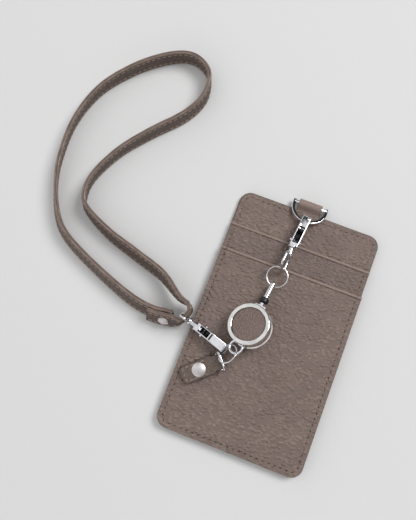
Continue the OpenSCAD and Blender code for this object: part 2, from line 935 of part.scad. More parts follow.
module lower_hook_body() {
    on_lower_hook()
        hook_body(lower_sizes);
}

module lower_lever() {
    on_lower_hook()
        hook_lever(lower_sizes);
}

module lower_lever_pin() {
    on_lower_hook()
        hook_pin(lower_sizes);
}

module lower_lever_spring() {
    on_lower_hook()
        hook_spring(lower_sizes);
}

module lower_eye() {
    on_lower_hook()
        on_axis(lower_eye_roll)
            swivel_eye(lower_sizes);
}

// The strap's middle line: each point is its place and its lean
function loop_point(s) = [
    lower_eye_end.x + s.x * loop_reach,
    lower_eye_end.y + s.y * loop_height,
    strap_floor_gap + strap_w / 2 * cos(s.z) + strap_t / 2 * abs(sin(s.z)) + s[3] * strap_w,
    s.z];
function eye_point(s) = [
    lower_eye_end.x + s.x * strap_t,
    lower_eye_end.y + s.y * strap_t,
    lower_eye_end.z + s[3] * strap_w,
    s.z];
strap_line = concat([for (s = inner_shares) eye_point(s)], [for (s = loop_shares) loop_point(s)],
    [for (s = fold_shares) eye_point(s)]);
strap_last = len(strap_line) - 1;

// A smooth line through the points: part i, at share u of the way to the next point
function on_strap(i, u) =
    let (a = strap_line[max(i - 1, 0)], b = strap_line[i])
    let (c = strap_line[min(i + 1, strap_last)], d = strap_line[min(i + 2, strap_last)])
    (2 * b + (c - a) * u + (2 * a - 5 * b + 4 * c - d) * u * u + (3 * b - a - 3 * c + d) * u * u * u) / 2;
strap_path = concat(
    [for (i = [0:strap_last - 1], k = [0:strap_steps - 1]) on_strap(i, k / strap_steps)],
    [strap_line[strap_last]]);

function place(p) = [p.x, p.y, p.z];
function unit(v) = v / norm(v);
// Way along the strap, the side that faces out of the loop, and the way to the strap's upper edge
function strap_way(i) = unit(place(strap_path[min(i + 1, len(strap_path) - 1)])
    - place(strap_path[max(i - 1, 0)]));
function level_side(way) = unit([-way.y, way.x, 0]);
function strap_side(way, lean) = cos(lean) * level_side(way) - sin(lean) * cross(way, level_side(way));
function strap_up(way, lean) = cos(lean) * cross(way, level_side(way)) + sin(lean) * level_side(way);

module wrist_strap() {
    sides = len(edge_shares);
    rings = len(strap_path);
    points = [for (i = [0:rings - 1], e = edge_shares)
        place(strap_path[i])
            + e.x * strap_t * strap_side(strap_way(i), strap_path[i][3])
            + e.y * strap_w * strap_up(strap_way(i), strap_path[i][3])];
    walls = [for (i = [0:rings - 2], k = [0:sides - 1], half = [0, 1])
        let (a = i * sides + k, b = i * sides + (k + 1) % sides)
        half == 0 ? [a, b + sides, b] : [a, a + sides, b + sides]];
    first = [for (k = [1:sides - 2]) [0, k, k + 1]];
    last = [for (k = [1:sides - 2]) (rings - 1) * sides * [1, 1, 1] + [0, k + 1, k]];
    color(leather)
        polyhedron(points = points, faces = concat(walls, first, last), convexity = 10);
}

// The rivet's frame: origin in the middle of the tail, +Z out of the loop
module on_strap_rivet() {
    i = (strap_last - len(fold_shares) + 1 + rivet_row) * strap_steps;
    p = strap_path[i];
    way = strap_way(i);
    translate(place(p))
        multmatrix([
            [way.x, strap_up(way, p[3]).x, strap_side(way, p[3]).x, 0],
            [way.y, strap_up(way, p[3]).y, strap_side(way, p[3]).y, 0],
            [way.z, strap_up(way, p[3]).z, strap_side(way, p[3]).z, 0],
            [0, 0, 0, 1]])
            children();
}

// A rivet's domed cap on the face at z, with its post down to the face at low_z
module rivet_cap(z, low_z, cap_r) {
    dome_r = (cap_r * cap_r + cap_dome_h * cap_dome_h) / (2 * cap_dome_h);
    color(chrome) {
        translate([0, 0, z])
            cylinder(h = cap_edge_t, r = cap_r);
        translate([0, 0, z + cap_edge_t])
            rotate_extrude()
                intersection() {
                    translate([0, cap_dome_h - dome_r])
                        circle(dome_r);
                    square([cap_r, cap_dome_h]);
                }
        translate([0, 0, low_z])
            cylinder(h = z - low_z + cap_edge_t, r = rivet_post_r);
    }
}

module strap_rivet_cap() {
    on_strap_rivet()
        rivet_cap(strap_t / 2, -strap_t * 1.5 - 2 * gap, strap_cap_r);
}

module strap_rivet_back() {
    color(chrome)
        on_strap_rivet()
            translate([0, 0, -strap_t * 1.5 - 2 * gap - rivet_back_t])
                cylinder(h = rivet_back_t, r = rivet_back_r);
}

module fob_jump_ring() {
    color(chrome)
        translate(fob_link_centre)
            rotate(fob_link_turn)
                torus(fob_link_r, fob_link_wire_r);
}

module on_fob() {
    translate(fob_bar)
        rotate([fob_turn.x, 0, fob_turn.z])
            rotate([0, fob_turn.y, 0])
                children();
}

// A small ring: a straight bar in the leather's fold, and a bow beyond it
module fob_d_ring() {
    bow = fob_ring_half - fob_ring_round;
    color(chrome)
        on_fob()
            rotate([fob_ring_turn, 0, 0]) {
                axle(2 * fob_ring_half, fob_bar_r);
                for (side = [-1, 1]) {
                    translate([side * fob_ring_half, 0, 0])
                        sphere(fob_bar_r);
                    translate([side * fob_ring_half, 0, 0])
                        rod(0, fob_ring_depth - fob_ring_round, fob_bar_r);
                    translate([side * bow, fob_ring_depth - fob_ring_round, 0])
                        rotate([0, 0, side > 0 ? 0 : 90])
                            rotate_extrude(angle = 90)
                                translate([fob_ring_round, 0])
                                    circle(fob_bar_r);
                }
                translate([0, fob_ring_depth, 0])
                    axle(2 * bow, fob_bar_r);
            }
}

// The fob's plan: round corners at the tail, and a neck between the ring's arms
module fob_plan() {
    shoulder = fob_neck_l + (fob_w - fob_neck_w) / 2;
    translate([-fob_w / 2, -fob_l])
        rounded(fob_w, fob_l - shoulder, fob_corner_r);
    translate([-fob_w / 2, fob_corner_r - fob_l])
        square([fob_w, fob_l - fob_corner_r - shoulder]);
    polygon([[-fob_w / 2, -shoulder], [fob_w / 2, -shoulder], [fob_neck_w / 2, -fob_neck_l],
        [-fob_neck_w / 2, -fob_neck_l]]);
    translate([-fob_neck_w / 2, -fob_neck_l])
        square([fob_neck_w, fob_neck_l + fob_out_r + over]);
}

module fob_leather() {
    color(leather)
        on_fob()
            difference() {
                intersection() {
                    across(fob_w)
                        union() {
                            circle(fob_out_r);
                            polygon([[0, fob_out_r], [-fob_taper_l, fob_leather_t], [-fob_l, fob_leather_t],
                                [-fob_l, -fob_leather_t], [-fob_taper_l, -fob_leather_t], [0, -fob_out_r]]);
                        }
                    translate([0, 0, -fob_out_r - over])
                        linear_extrude(2 * (fob_out_r + over))
                            fob_plan();
                }
                axle(fob_w + 2 * over, fob_in_r);
                translate([0, -fob_rivet_place, -fob_out_r])
                    cylinder(h = 2 * fob_out_r, r = rivet_post_r + rivet_gap);
            }
}

module fob_rivet_cap() {
    on_fob()
        translate([0, -fob_rivet_place, 0])
            rivet_cap(fob_leather_t, -fob_leather_t, fob_cap_r);
}

module fob_rivet_back() {
    color(chrome)
        on_fob()
            translate([0, -fob_rivet_place, -fob_leather_t - rivet_back_t])
                cylinder(h = rivet_back_t, r = rivet_back_r);
}

back_frame();
id_window();
centre_board();
front_panel();
upper_pocket();
main_pocket();
loop_tab();
d_ring();
upper_hook_body();
upper_lever();
upper_lever_pin();
upper_lever_spring();
upper_eye();
jump_ring();
cord_end_tube();
cord_stopper();
cord_core();
reel_back_cover();
reel_case();
reel_bezel();
reel_inlay();
reel_arbor();
reel_mainspring();
reel_spool();
wound_cord();
pull_cord();
reel_nozzle();
reel_bail();
lower_hook_body();
lower_lever();
lower_lever_pin();
lower_lever_spring();
lower_eye();
wrist_strap();
strap_rivet_cap();
strap_rivet_back();
fob_jump_ring();
fob_d_ring();
fob_leather();
fob_rivet_cap();
fob_rivet_back();
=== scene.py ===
"""Leather badge wallet with its D ring, snap hooks, cord reel, riveted fob and wrist strap.

Lengths are written in millimetres and turned into metres where a mesh is made. In the materials, the bumps'
depths are in metres and the textures' scales are per metre.
"""

import math

import bmesh
import bpy
import numpy as np
from mathutils import Matrix, Vector


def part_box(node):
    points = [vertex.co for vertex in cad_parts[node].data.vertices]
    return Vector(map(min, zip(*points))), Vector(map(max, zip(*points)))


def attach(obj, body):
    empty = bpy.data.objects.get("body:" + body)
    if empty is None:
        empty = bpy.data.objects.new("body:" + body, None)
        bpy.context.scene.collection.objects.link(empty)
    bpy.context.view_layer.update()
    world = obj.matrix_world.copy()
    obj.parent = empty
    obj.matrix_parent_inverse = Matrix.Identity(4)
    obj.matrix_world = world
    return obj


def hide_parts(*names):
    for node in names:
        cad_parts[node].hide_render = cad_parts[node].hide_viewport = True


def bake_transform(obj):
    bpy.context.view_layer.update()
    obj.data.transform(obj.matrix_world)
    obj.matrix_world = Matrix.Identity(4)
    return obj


MM = 0.001
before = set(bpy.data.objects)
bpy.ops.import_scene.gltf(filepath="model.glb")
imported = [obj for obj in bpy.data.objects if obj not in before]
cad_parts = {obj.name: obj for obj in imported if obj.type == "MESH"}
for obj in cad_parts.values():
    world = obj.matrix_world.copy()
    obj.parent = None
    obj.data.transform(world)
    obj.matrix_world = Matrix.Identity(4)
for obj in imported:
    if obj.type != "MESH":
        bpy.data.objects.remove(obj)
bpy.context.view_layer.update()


def box_mm(node):
    """Lowest and highest corner of a CAD node, in millimetres."""
    low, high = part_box(node)
    return np.array(low) / MM, np.array(high) / MM


def centre_mm(node):
    """Middle of a CAD node's box, in millimetres."""
    low, high = box_mm(node)
    return (low + high) / 2


# Wallet panels: round edge, sewn groove, and the bead and crease below a pocket's mouth
CORNER_R = 5.5
EDGE_ROLL = 0.32
STITCH_INSET = 2.45
STITCH_GROOVE = 0.16
GROOVE_WIDTH = 0.42
MOUTH_ROLL = 0.4
MOUTH_CREST = 1.15
MOUTH_BEAD = 0.26
MOUTH_CREASE = 1.55
CREASE_DEPTH = 0.4
CREASE_WIDTH = 0.26
CREASE_STOP = 0.3
MOUTH_FADE = 5
# Width of the strip below a pocket's mouth that takes the lighter lip leather, a painted highlight
LIP_HIGHLIGHT_WIDTH = 1.25
WAVE = 0.05
WAVE_FADE = 4
BACK_REST = 0.12

# Window and card slit in the back frame, and the steps that outlines are drawn in
OUTLINE_STEP = 0.4
OVERCUT = 1
SHEET_OVERLAP = 3
WINDOW_R = 3
SLIT_RISE = 8
SLIT_W = 56
SLIT_T = 1.2

# Wallet stitches
STITCH_PITCH = 2.8
STITCH_LENGTH = 1.9
THREAD_W = 0.44
THREAD_H = 0.3
# Size of the dark spindle of painted shade at each needle hole
HOLE_L = 0.95
HOLE_W = 0.46
SEAM_CORNER_R = 3.6
FRAME_SEAM_OUT = 2

# A strip's section: half width of the groove that its stitches lie in and, as a share of the half thickness,
# that of the seam on its edges
STRIP_GROOVE_W = 0.32
STRIP_SEAM_W = 0.18
COS_45 = 0.71

# Wrist strap: its loop, its section and its stitches
LOOP_REACH = 85
LOOP_HEIGHT = 121.5
EYE_END = np.array([-40.65, 41.63, 7.385])
FLOOR_GAP = 0.05
STRAP_STEPS = 8
STRAP_W = 9.2
STRAP_T = 2.1
STRAP_SKIN_IN = 0.07
STRAP_EDGE_IN = 0.12
STRAP_CORNER = 0.7
STRAP_CROWN = 0.05
STRAP_GROOVE = 0.12
STRAP_SEAM = 0.35
STRAP_STITCH_INSET = 1.75
STRAP_STITCH_SINK = 0.1
STRAP_STITCH_ENDS = 2
STRAP_PITCH = 2.75
STRAP_STITCH = (1.9, 0.5, 0.4)

# Ring tab
TAB_LOOP_T = 0.8
TAB_TAIL_T = 0.37
TAB_R = 1.55
TAB_BAR_IN = 1.95
TAB_CORNER = 0.2
TAB_PLY_RISE = 0.19

# Fob
FOB_T = 1.07
FOB_SOLID_T = 1.1
FOB_L = 18
FOB_W = 8.5
FOB_NECK_W = 7
FOB_CORNER_R = 2
FOB_TAIL_CUT = 0.999
FOB_EDGE_R = 0.26
FOB_CROWN = 0.03
FOB_GROOVE = 0.07
FOB_RIVET = 9.8
RIVET_BACK_T = 0.5
FOB_BAR_R = 0.75
PLY_GAP = 0.015
FOB_STITCH_INSET = 1.15
FOB_STITCH_SINK = 0.05
FOB_SEAM_NECK = -4.2
FOB_SEAM_R = 1.4
FOB_STITCH_ENDS = 0.4
FOB_PITCH = 2.2
FOB_STITCH = (1.5, 0.34, 0.22)
FOB_TURN = (-48, 3.6, 1.7)

# Reel and cord
REEL_TURN = (-9, -5, -21)
INLAY_R = 7.72
INLAY_H = 0.9
INLAY_SINK = 0.1
INLAY_ROLL = 0.4
INLAY_CROWN = 0.32
INLAY_HOLE_R = 0.05
INLAY_FOOT_IN = 0.1
INLAY_FOOT_H = 0.15
RIPPLE = 0.03
RIPPLE_RATE = 1.9
INLAY_SIDES = 96
BEAD_HALF = 1.2
BEAD_GAP = 0.3
CORD_R = 0.25
CORD_SIDES = 10
CORD_BACK = 0.1
CORD_BEND = 0.6
CORD_INSIDE = 2.6

# Cast parts: how their CAD faces are joined again, bevels of the ring, hooks and levers, and the groove
# behind the hooks' heads, whose bottom is painted black as shade
MERGE_GAP = 0.002
FLAT_ANGLE = 0.5
RING_BEVEL = 0.16
HOOK_BEVEL = 0.42
LEVER_BEVEL = 0.15
SHARP_ANGLE = 35
HEAD_L = 4.3
HEAD_GROOVE = 0.8
GROOVE_FLOOR = 1.4
GROOVE_RISE = 1.2
LOWER_SHANK = 2.2
UPPER_SEAT = np.array([-2, 103.573, 5.649])
LOWER_SEAT = np.array([-17.772, 34.199, 8.295])
UPPER_HOOK_TURN = (-6.5, -11, 0)
LOWER_HOOK_TURN = (-108, 3, 0)

# Floor, light and camera; a step is where a light begins, where it is full, and its level
FLOOR_HALF = 6000
FLOOR_Z = -0.1
KEY_PLACE = (1600, 900, 2100)
KEY_SIZE = 1200
KEY_POWER = 47
OVERHEAD_STEP = (0.76, 0.85, 0.86)
LEFT_STEP = (-0.3, -0.55, 0.8)
FRONT_STEP = (-0.6, -0.8, 0.85)
ROOM_LIGHT = 0.035
PHOTO_TURN = 21.04
PHOTO_W = 416
FOCAL_PX = 572.5
SENSOR = 36.0
CAMERA_PLACE = Vector((-18.63, 30.79, 272.43))
CAMERA_AIM = Vector((-39.02, 70.59, 0.0))


def turning(z, x, y):
    """Rotation of z degrees about Z, after x about X, after y about Y, as a 3 by 3 array."""
    steps = [Matrix.Rotation(math.radians(a), 3, axis) for a, axis in ((z, "Z"), (x, "X"), (y, "Y"))]
    return np.array(steps[0] @ steps[1] @ steps[2])


def unit(v):
    """Vectors divided by their lengths."""
    return v / np.linalg.norm(v, axis=-1, keepdims=True)


# Meshes


def grid_quads(rows, cols, wrap=False):
    """Quads between neighbours in a grid numbered row by row; wrap joins the last column to the first."""
    row = np.arange(rows - 1)[:, None] * cols
    col = np.arange(cols if wrap else cols - 1)[None, :]
    after = (col + 1) % cols
    return np.stack([row + col, row + after, row + cols + after, row + cols + col], -1).reshape(-1, 4)


def put_mesh(name, points, faces, materials, face_materials=None, crease=40):
    """A mesh piece from points in mm, its faces turned outwards; edges sharper than crease stay sharp."""
    mesh = bpy.data.meshes.new(name)
    mesh.from_pydata((np.asarray(points, float) * MM).tolist(), [], faces)
    for material in materials:
        mesh.materials.append(material)
    if face_materials is not None:
        mesh.polygons.foreach_set("material_index", np.asarray(face_materials, np.int32))
    work = bmesh.new()
    work.from_mesh(mesh)
    bmesh.ops.recalc_face_normals(work, faces=work.faces)
    work.to_mesh(mesh)
    work.free()
    mesh.shade_smooth()
    mesh.set_sharp_from_angle(angle=math.radians(crease))
    piece = bpy.data.objects.new(name, mesh)
    bpy.context.scene.collection.objects.link(piece)
    return piece


def loft(name, rings, materials, side_materials=None, crease=40):
    """Closed sections, rings[i, j], joined in order and shut at both ends; side_materials: one per side."""
    count, sides = rings.shape[:2]
    faces = grid_quads(count, sides, wrap=True).tolist()
    faces += [list(range(sides)), list(range((count - 1) * sides, count * sides))]
    kinds = None
    if side_materials is not None:
        kinds = np.concatenate([np.tile(side_materials, count - 1), [max(side_materials)] * 2])
    return put_mesh(name, rings.reshape(-1, 3), faces, materials, kinds, crease)


def threads(name, places, ways, ups, length, width, height, material):
    """One short thread at each place: a spindle along its way, whose radius falls off to its ends as
    sqrt(1 - t^4)."""
    t = np.array([-0.97, -0.8, 0, 0.8, 0.97])
    thick = np.sqrt(1 - t**4)
    round_angle = np.arange(6) * math.tau / 6
    sides = unit(np.cross(ups, ways))
    points = (
        places[:, None, None]
        + ways[:, None, None] * (length / 2 * t)[None, :, None, None]
        + sides[:, None, None] * (width / 2 * thick[:, None] * np.cos(round_angle))[None, :, :, None]
        + ups[:, None, None] * (height / 2 * thick[:, None] * np.sin(round_angle))[None, :, :, None]
    )
    rows, cols = len(t), len(round_angle)
    quads = grid_quads(rows, cols, wrap=True)
    starts = np.arange(len(places)) * rows * cols
    faces = (quads[None] + starts[:, None, None]).reshape(-1, 4).tolist()
    ends = np.stack([np.arange(cols), np.arange(cols) + (rows - 1) * cols])
    faces += (ends[None] + starts[:, None, None]).reshape(-1, cols).tolist()
    return put_mesh(name, points.reshape(-1, 3), faces, [material], crease=80)


def smooth_line(points, steps):
    """A Catmull-Rom curve through the rows of points, with steps parts from each point to the next."""
    points = np.asarray(points, float)
    padded = np.concatenate([points[:1], points, points[-1:]])
    a, b, c, d = padded[:-3], padded[1:-2], padded[2:-1], padded[3:]
    u = (np.arange(steps) / steps)[None, :, None]
    a, b, c, d = (v[:, None] for v in (a, b, c, d))
    line = (2 * b + (c - a) * u + (2 * a - 5 * b + 4 * c - d) * u**2 + (3 * b - a - 3 * c + d) * u**3) / 2
    return np.concatenate([line.reshape(-1, points.shape[1]), points[-1:]])


def ways_along(line):
    """Unit direction at each point of a line, from its neighbours on both sides."""
    ahead = np.concatenate([line[1:], line[-1:]])
    behind = np.concatenate([line[:1], line[:-1]])
    return unit(ahead - behind)


def spaced(line, values, pitch, margin):
    """Values of a line's points at even steps of about pitch along its length, margin away from both ends."""
    lengths = np.concatenate([[0], np.cumsum(np.linalg.norm(np.diff(line, axis=0), axis=1))])
    count = max(2, int((lengths[-1] - 2 * margin) / pitch))
    at = np.linspace(margin, lengths[-1] - margin, count)
    return np.stack([np.interp(at, lengths, column) for column in values.T], 1)


# Materials


class Nodes:
    """A material's node tree, with short calls for the textures that its finish is made of."""

    def __init__(self, name):
        self.material = bpy.data.materials.new(name)
        self.material.use_nodes = True
        self.tree = self.material.node_tree
        self.shader = self.tree.nodes["Principled BSDF"]

    def add(self, kind, links=(), **settings):
        node = self.tree.nodes.new(kind)
        for key, value in settings.items():
            setattr(node, key, value)
        for socket, source in dict(links).items():
            if isinstance(source, bpy.types.NodeSocket):
                self.tree.links.new(source, node.inputs[socket])
            else:
                node.inputs[socket].default_value = source
        return node

    def place(self, scale=(1, 1, 1), turn=0.0):
        coords = self.add("ShaderNodeTexCoord").outputs["Object"]
        return self.add(
            "ShaderNodeMapping", {"Vector": coords, "Rotation": (0, 0, turn), "Scale": scale}
        ).outputs["Vector"]

    def noise(self, where, scale, detail, rough=0.5):
        return self.add(
            "ShaderNodeTexNoise", {"Vector": where, "Scale": scale, "Detail": detail, "Roughness": rough}
        )

    def ramp(self, value, low, high, to_low=0.0, to_high=1.0):
        return self.add(
            "ShaderNodeMapRange",
            {"Value": value, "From Min": low, "From Max": high, "To Min": to_low, "To Max": to_high},
            interpolation_type="SMOOTHSTEP",
        ).outputs["Result"]

    def math(self, operation, a, b):
        return self.add("ShaderNodeMath", {0: a, 1: b}, operation=operation).outputs[0]

    def mix(self, share, a, b):
        return self.add("ShaderNodeMix", {0: share, 6: a, 7: b}, data_type="RGBA").outputs[2]

    def bump(self, height, depth, strength, normal=None):
        links = {"Height": height, "Distance": depth, "Strength": strength}
        if normal is not None:
            links["Normal"] = normal
        return self.add("ShaderNodeBump", links).outputs["Normal"]

    def finish(self, **inputs):
        for name, value in inputs.items():
            socket = self.shader.inputs[name.replace("_", " ")]
            if isinstance(value, bpy.types.NodeSocket):
                self.tree.links.new(value, socket)
            else:
                socket.default_value = value
        return self.material


def tint(r, g, b):
    """An sRGB colour, written from 0 to 255, as linear RGBA."""
    c = np.array([r, g, b]) / 255
    return (*np.where(c <= 0.04045, c / 12.92, ((c + 0.055) / 1.055) ** 2.4), 1.0)


def leather(name, light, dark, grain, stretch=(1.0, 1.0, 1.0), turn=0.0, depth=0.0003, rough=0.5):
    """Pebbled leather: domed cells about grain mm across, parted by creases that come and go and are darkened
    with painted shade, with fine wrinkles, pores and a soft cloud of tone."""
    n = Nodes(name)
    where = n.place(stretch, turn)
    cell = grain * MM
    wander = n.noise(where, 0.4 / cell, 2).outputs["Color"]
    bent = n.add(
        "ShaderNodeVectorMath", {0: wander, 1: (cell * 0.4,) * 3, 2: where}, operation="MULTIPLY_ADD"
    ).outputs["Vector"]
    cells = n.add(
        "ShaderNodeTexVoronoi", {"Vector": bent, "Scale": 1 / cell, "Smoothness": 0.35}, feature="SMOOTH_F1"
    ).outputs["Distance"]
    wrinkles = n.noise(bent, 1.2 / cell, 2, 0.4).outputs["Fac"]
    patches = n.noise(where, 150, 3).outputs["Fac"]
    strength = n.ramp(patches, 0.35, 0.6, 0.8, 1.0)
    dome = n.math("MULTIPLY", n.ramp(cells, 0.1, 0.66, 1.0, 0.0), strength)
    relief = n.math("ADD", dome, n.math("MULTIPLY", wrinkles, 0.2))
    pores = n.noise(where, 2600, 2).outputs["Fac"]
    skin = n.bump(pores, depth * 0.02, 0.6, n.bump(relief, depth, 1.0))
    # Painted shade: the creases between the cells are coloured towards the dark tone; the cloud below is
    # random tone
    crease = n.math("MULTIPLY", n.ramp(cells, 0.36, 0.64, 0.0, 0.6), strength)
    cloud = n.ramp(n.noise(where, 42, 3).outputs["Fac"], 0.3, 0.7, 0.0, 0.3)
    crease_shade_and_tone = n.mix(n.math("MAXIMUM", crease, cloud), light, dark)
    gloss = n.ramp(cells, 0.3, 0.6, rough, rough + 0.16)
    return n.finish(Base_Color=crease_shade_and_tone, Roughness=gloss, Normal=skin, Specular_IOR_Level=0.42)


def painted_edge(name, light, dark):
    """Edge paint over cut leather: dark, half glossy, with fine lines along the layers."""
    n = Nodes(name)
    lines = n.noise(n.place((200, 200, 5200)), 1.0, 3).outputs["Fac"]
    tone = n.mix(n.ramp(lines, 0.35, 0.65), light, dark)
    return n.finish(
        Base_Color=tone, Roughness=n.ramp(lines, 0.3, 0.7, 0.38, 0.55), Normal=n.bump(lines, 0.00005, 0.7)
    )


def thread_finish(name, light, dark):
    """Waxed sewing thread: two tones in a fine twist."""
    n = Nodes(name)
    twist = n.add(
        "ShaderNodeTexWave", {"Vector": n.place(turn=0.7), "Scale": 900, "Distortion": 2.0}
    ).outputs["Fac"]
    return n.finish(Base_Color=n.mix(twist, light, dark), Roughness=0.6, Normal=n.bump(twist, 0.00006, 0.8))


def metal(name, light, dark, rough):
    """Polished plated metal: a faint cloud in its tone and gloss, and a very light orange peel."""
    n = Nodes(name)
    where = n.place()
    cloud = n.noise(where, 260, 3).outputs["Fac"]
    peel = n.noise(where, 1400, 2).outputs["Fac"]
    return n.finish(
        Base_Color=n.mix(n.ramp(cloud, 0.35, 0.7), light, dark),
        Metallic=1.0,
        Roughness=n.ramp(cloud, 0.3, 0.75, rough, rough * 1.8),
        Normal=n.bump(peel, 0.00001, 0.5),
    )


def plastic(name, light, dark, rough):
    """Moulded plastic with a faint texture."""
    n = Nodes(name)
    specks = n.noise(n.place(), 1200, 3).outputs["Fac"]
    return n.finish(
        Base_Color=n.mix(specks, light, dark),
        Roughness=n.ramp(specks, 0.3, 0.7, rough, rough * 1.4),
        Normal=n.bump(specks, 0.00001, 0.6),
    )


def braid(name, light, dark):
    """Braided cord: two crossing sets of ridges."""
    n = Nodes(name)
    one = n.add("ShaderNodeTexWave", {"Vector": n.place(turn=0.8), "Scale": 1100}).outputs["Fac"]
    two = n.add("ShaderNodeTexWave", {"Vector": n.place(turn=-0.8), "Scale": 1100}).outputs["Fac"]
    weave = n.math("MAXIMUM", one, two)
    return n.finish(Base_Color=n.mix(weave, dark, light), Roughness=0.75, Normal=n.bump(weave, 0.00008, 0.8))


def clear_film(name):
    """Clear plastic sheet with faint waves."""
    n = Nodes(name)
    waves = n.noise(n.place(), 45, 2).outputs["Fac"]
    return n.finish(
        Base_Color=n.mix(waves, tint(250, 252, 253), tint(240, 245, 247)),
        Roughness=0.06,
        Transmission_Weight=0.95,
        IOR=1.35,
        Normal=n.bump(waves, 0.0004, 0.4),
    )


TAUPE = tint(139, 121, 113)
TAUPE_DARK = tint(99, 85, 78)
FRONT_GRAIN = (1.55, (0.72, 1.15, 1.0), 0.05, 0.00064, 0.45)
wallet_leather = leather("wallet_leather", TAUPE, TAUPE_DARK, *FRONT_GRAIN)
pocket_leather = leather("pocket_leather", tint(132, 115, 108), tint(97, 83, 78), *FRONT_GRAIN)
back_leather = leather("back_leather", TAUPE, TAUPE_DARK, 1.5)
# Smooth leather for the lip below a pocket's mouth; its lighter tint is a painted highlight where the bead
# catches the light
lip_highlight_leather = leather("lip_highlight_leather", tint(147, 129, 119), tint(124, 107, 99), 0.8, depth=0.00004, rough=0.42)
reel_leather = leather(
    "reel_leather", tint(138, 120, 114), tint(96, 81, 76), 0.85, (1.0, 0.85, 1.0), 0.2, 0.0004
)
strap_leather = leather("strap_leather", tint(103, 87, 80), tint(74, 61, 55), 1.0, depth=0.0002, rough=0.46)
fob_leather = leather("fob_leather", tint(110, 95, 88), tint(80, 67, 61), 1.0, depth=0.0002)
tab_leather = leather("tab_leather", tint(150, 131, 122), tint(130, 113, 105), 0.9, depth=0.00003, rough=0.42)
edge_paint = painted_edge("edge_paint", tint(112, 94, 84), tint(74, 60, 52))
strap_edge_paint = painted_edge("strap_edge_paint", tint(143, 125, 116), tint(112, 96, 88))
seam_dark = painted_edge("seam_dark", tint(72, 58, 51), tint(48, 38, 32))
fob_edge_paint = painted_edge("fob_edge_paint", tint(74, 60, 52), tint(50, 39, 33))
lining = painted_edge("lining_board", tint(96, 80, 71), tint(70, 57, 50))
thread = thread_finish("thread", tint(138, 119, 108), tint(110, 93, 84))
strap_thread = thread_finish("strap_thread", tint(200, 176, 157), tint(158, 137, 121))
# Painted shade: a dark finish for the marks that stand for the needle holes' depth
needle_hole_shade = plastic("needle_hole_painted_shade", tint(50, 40, 35), tint(38, 30, 26), 0.8)
chrome = metal("polished_chrome", tint(236, 236, 240), tint(218, 218, 224), 0.05)
wire_chrome = metal("wire_chrome", tint(232, 232, 235), tint(210, 210, 215), 0.1)
shell_steel = metal("shell_steel", tint(240, 239, 238), tint(222, 221, 221), 0.1)
rivet_metal = metal("rivet_metal", tint(226, 221, 221), tint(204, 199, 200), 0.34)
spring_steel = metal("spring_steel", tint(170, 170, 174), tint(140, 140, 146), 0.28)
spring_black = metal("spring_black", tint(52, 52, 54), tint(34, 34, 36), 0.3)
# Painted shade: black for the bottom of the groove behind each hook's head, standing for a deep gap in shade
groove_painted_shade = plastic("groove_painted_shade", tint(24, 24, 26), tint(14, 14, 15), 0.5)
lever_black = plastic("lever_black", tint(20, 20, 21), tint(12, 12, 13), 0.16)
bead_black = plastic("bead_black", tint(26, 26, 27), tint(16, 16, 17), 0.3)
spool_white = plastic("spool_white", tint(228, 227, 222), tint(214, 212, 206), 0.45)
black_braid = braid("black_braid", tint(38, 37, 38), tint(16, 16, 17))
film = clear_film("clear_film")


# Wallet panels


def wave(x, y):
    """Soft unevenness of the leather: three crossing sine waves."""
    return WAVE * (
        np.sin(x / 7.5 + 1.3) * np.sin(y / 11.5 + 0.4)
        + 0.7 * np.sin(x / 4.9 - y / 7.3 + 2)
        + 0.5 * np.sin(y / 5.1)
    )


def edge_distance(x, y, low, high, corner_r, round_top):
    """Distance inwards from the outline: to the nearest side or, within a round corner, to its arc."""
    dx = np.minimum(x - low[0], high[0] - x)
    dy = np.minimum(y - low[1], high[1] - y)
    by_arc = corner_r - np.hypot(corner_r - dx, corner_r - dy)
    in_corner = (dx < corner_r) & (dy < corner_r) & (round_top | (y < (low[1] + high[1]) / 2))
    return np.where(in_corner, by_arc, np.minimum(dx, dy))


def pressed(d):
    """Height of the face at distance d from the edge: a quarter-round edge and the sewn line's groove."""
    inside = np.clip(1 - d / EDGE_ROLL, 0, 1)
    roll = EDGE_ROLL * (1 - np.sqrt(1 - inside**2))
    return -roll - STITCH_GROOVE * np.exp(-(((d - STITCH_INSET) / GROOVE_WIDTH) ** 2))


def panel_face(x, y, low, high, round_top, mouth=False):
    """Height of a panel's face over its top plane: wave, pressed edge and, at a mouth, bead and crease."""
    d = edge_distance(x, y, low, high, CORNER_R, round_top)
    level = pressed(d) + wave(x, y) * np.clip(d / WAVE_FADE, 0, 1)
    if mouth:
        drop = high[1] - y
        from_side = np.minimum(x - low[0], high[0] - x)
        near = np.clip(1 - drop / MOUTH_FADE, 0, 1)
        level = level * (1 - near) + near * pressed(from_side)
        fall = (MOUTH_CREASE - drop) / (MOUTH_CREASE - MOUTH_CREST)
        bead = np.clip(drop / MOUTH_CREST, 0, 1) * np.clip(fall, 0, 1)
        level = level + MOUTH_BEAD * bead
        crease = CREASE_DEPTH * np.exp(-(((drop - MOUTH_CREASE) / CREASE_WIDTH) ** 2))
        level = level - crease * (from_side > CREASE_STOP)
        level = level - MOUTH_ROLL * (1 - np.sqrt(1 - np.clip(1 - drop / MOUTH_ROLL, 0, 1) ** 2))
    return level


# A panel's grid: its lines near each edge, and where the even lines between them begin
EDGE_LINES = np.array([
    0, 0.03, 0.09, 0.18, 0.32, 0.6, 0.9, 1.2, 1.35, 1.48, 1.55, 1.62, 1.75, 1.9, 2.1, 2.3, 2.45, 2.6, 2.8,
    3.1, 3.6, 4.4, 5.2])
EVEN_FROM_END = 6
EVEN_FROM_SIDE = 6.2
EVEN_ACROSS = 58


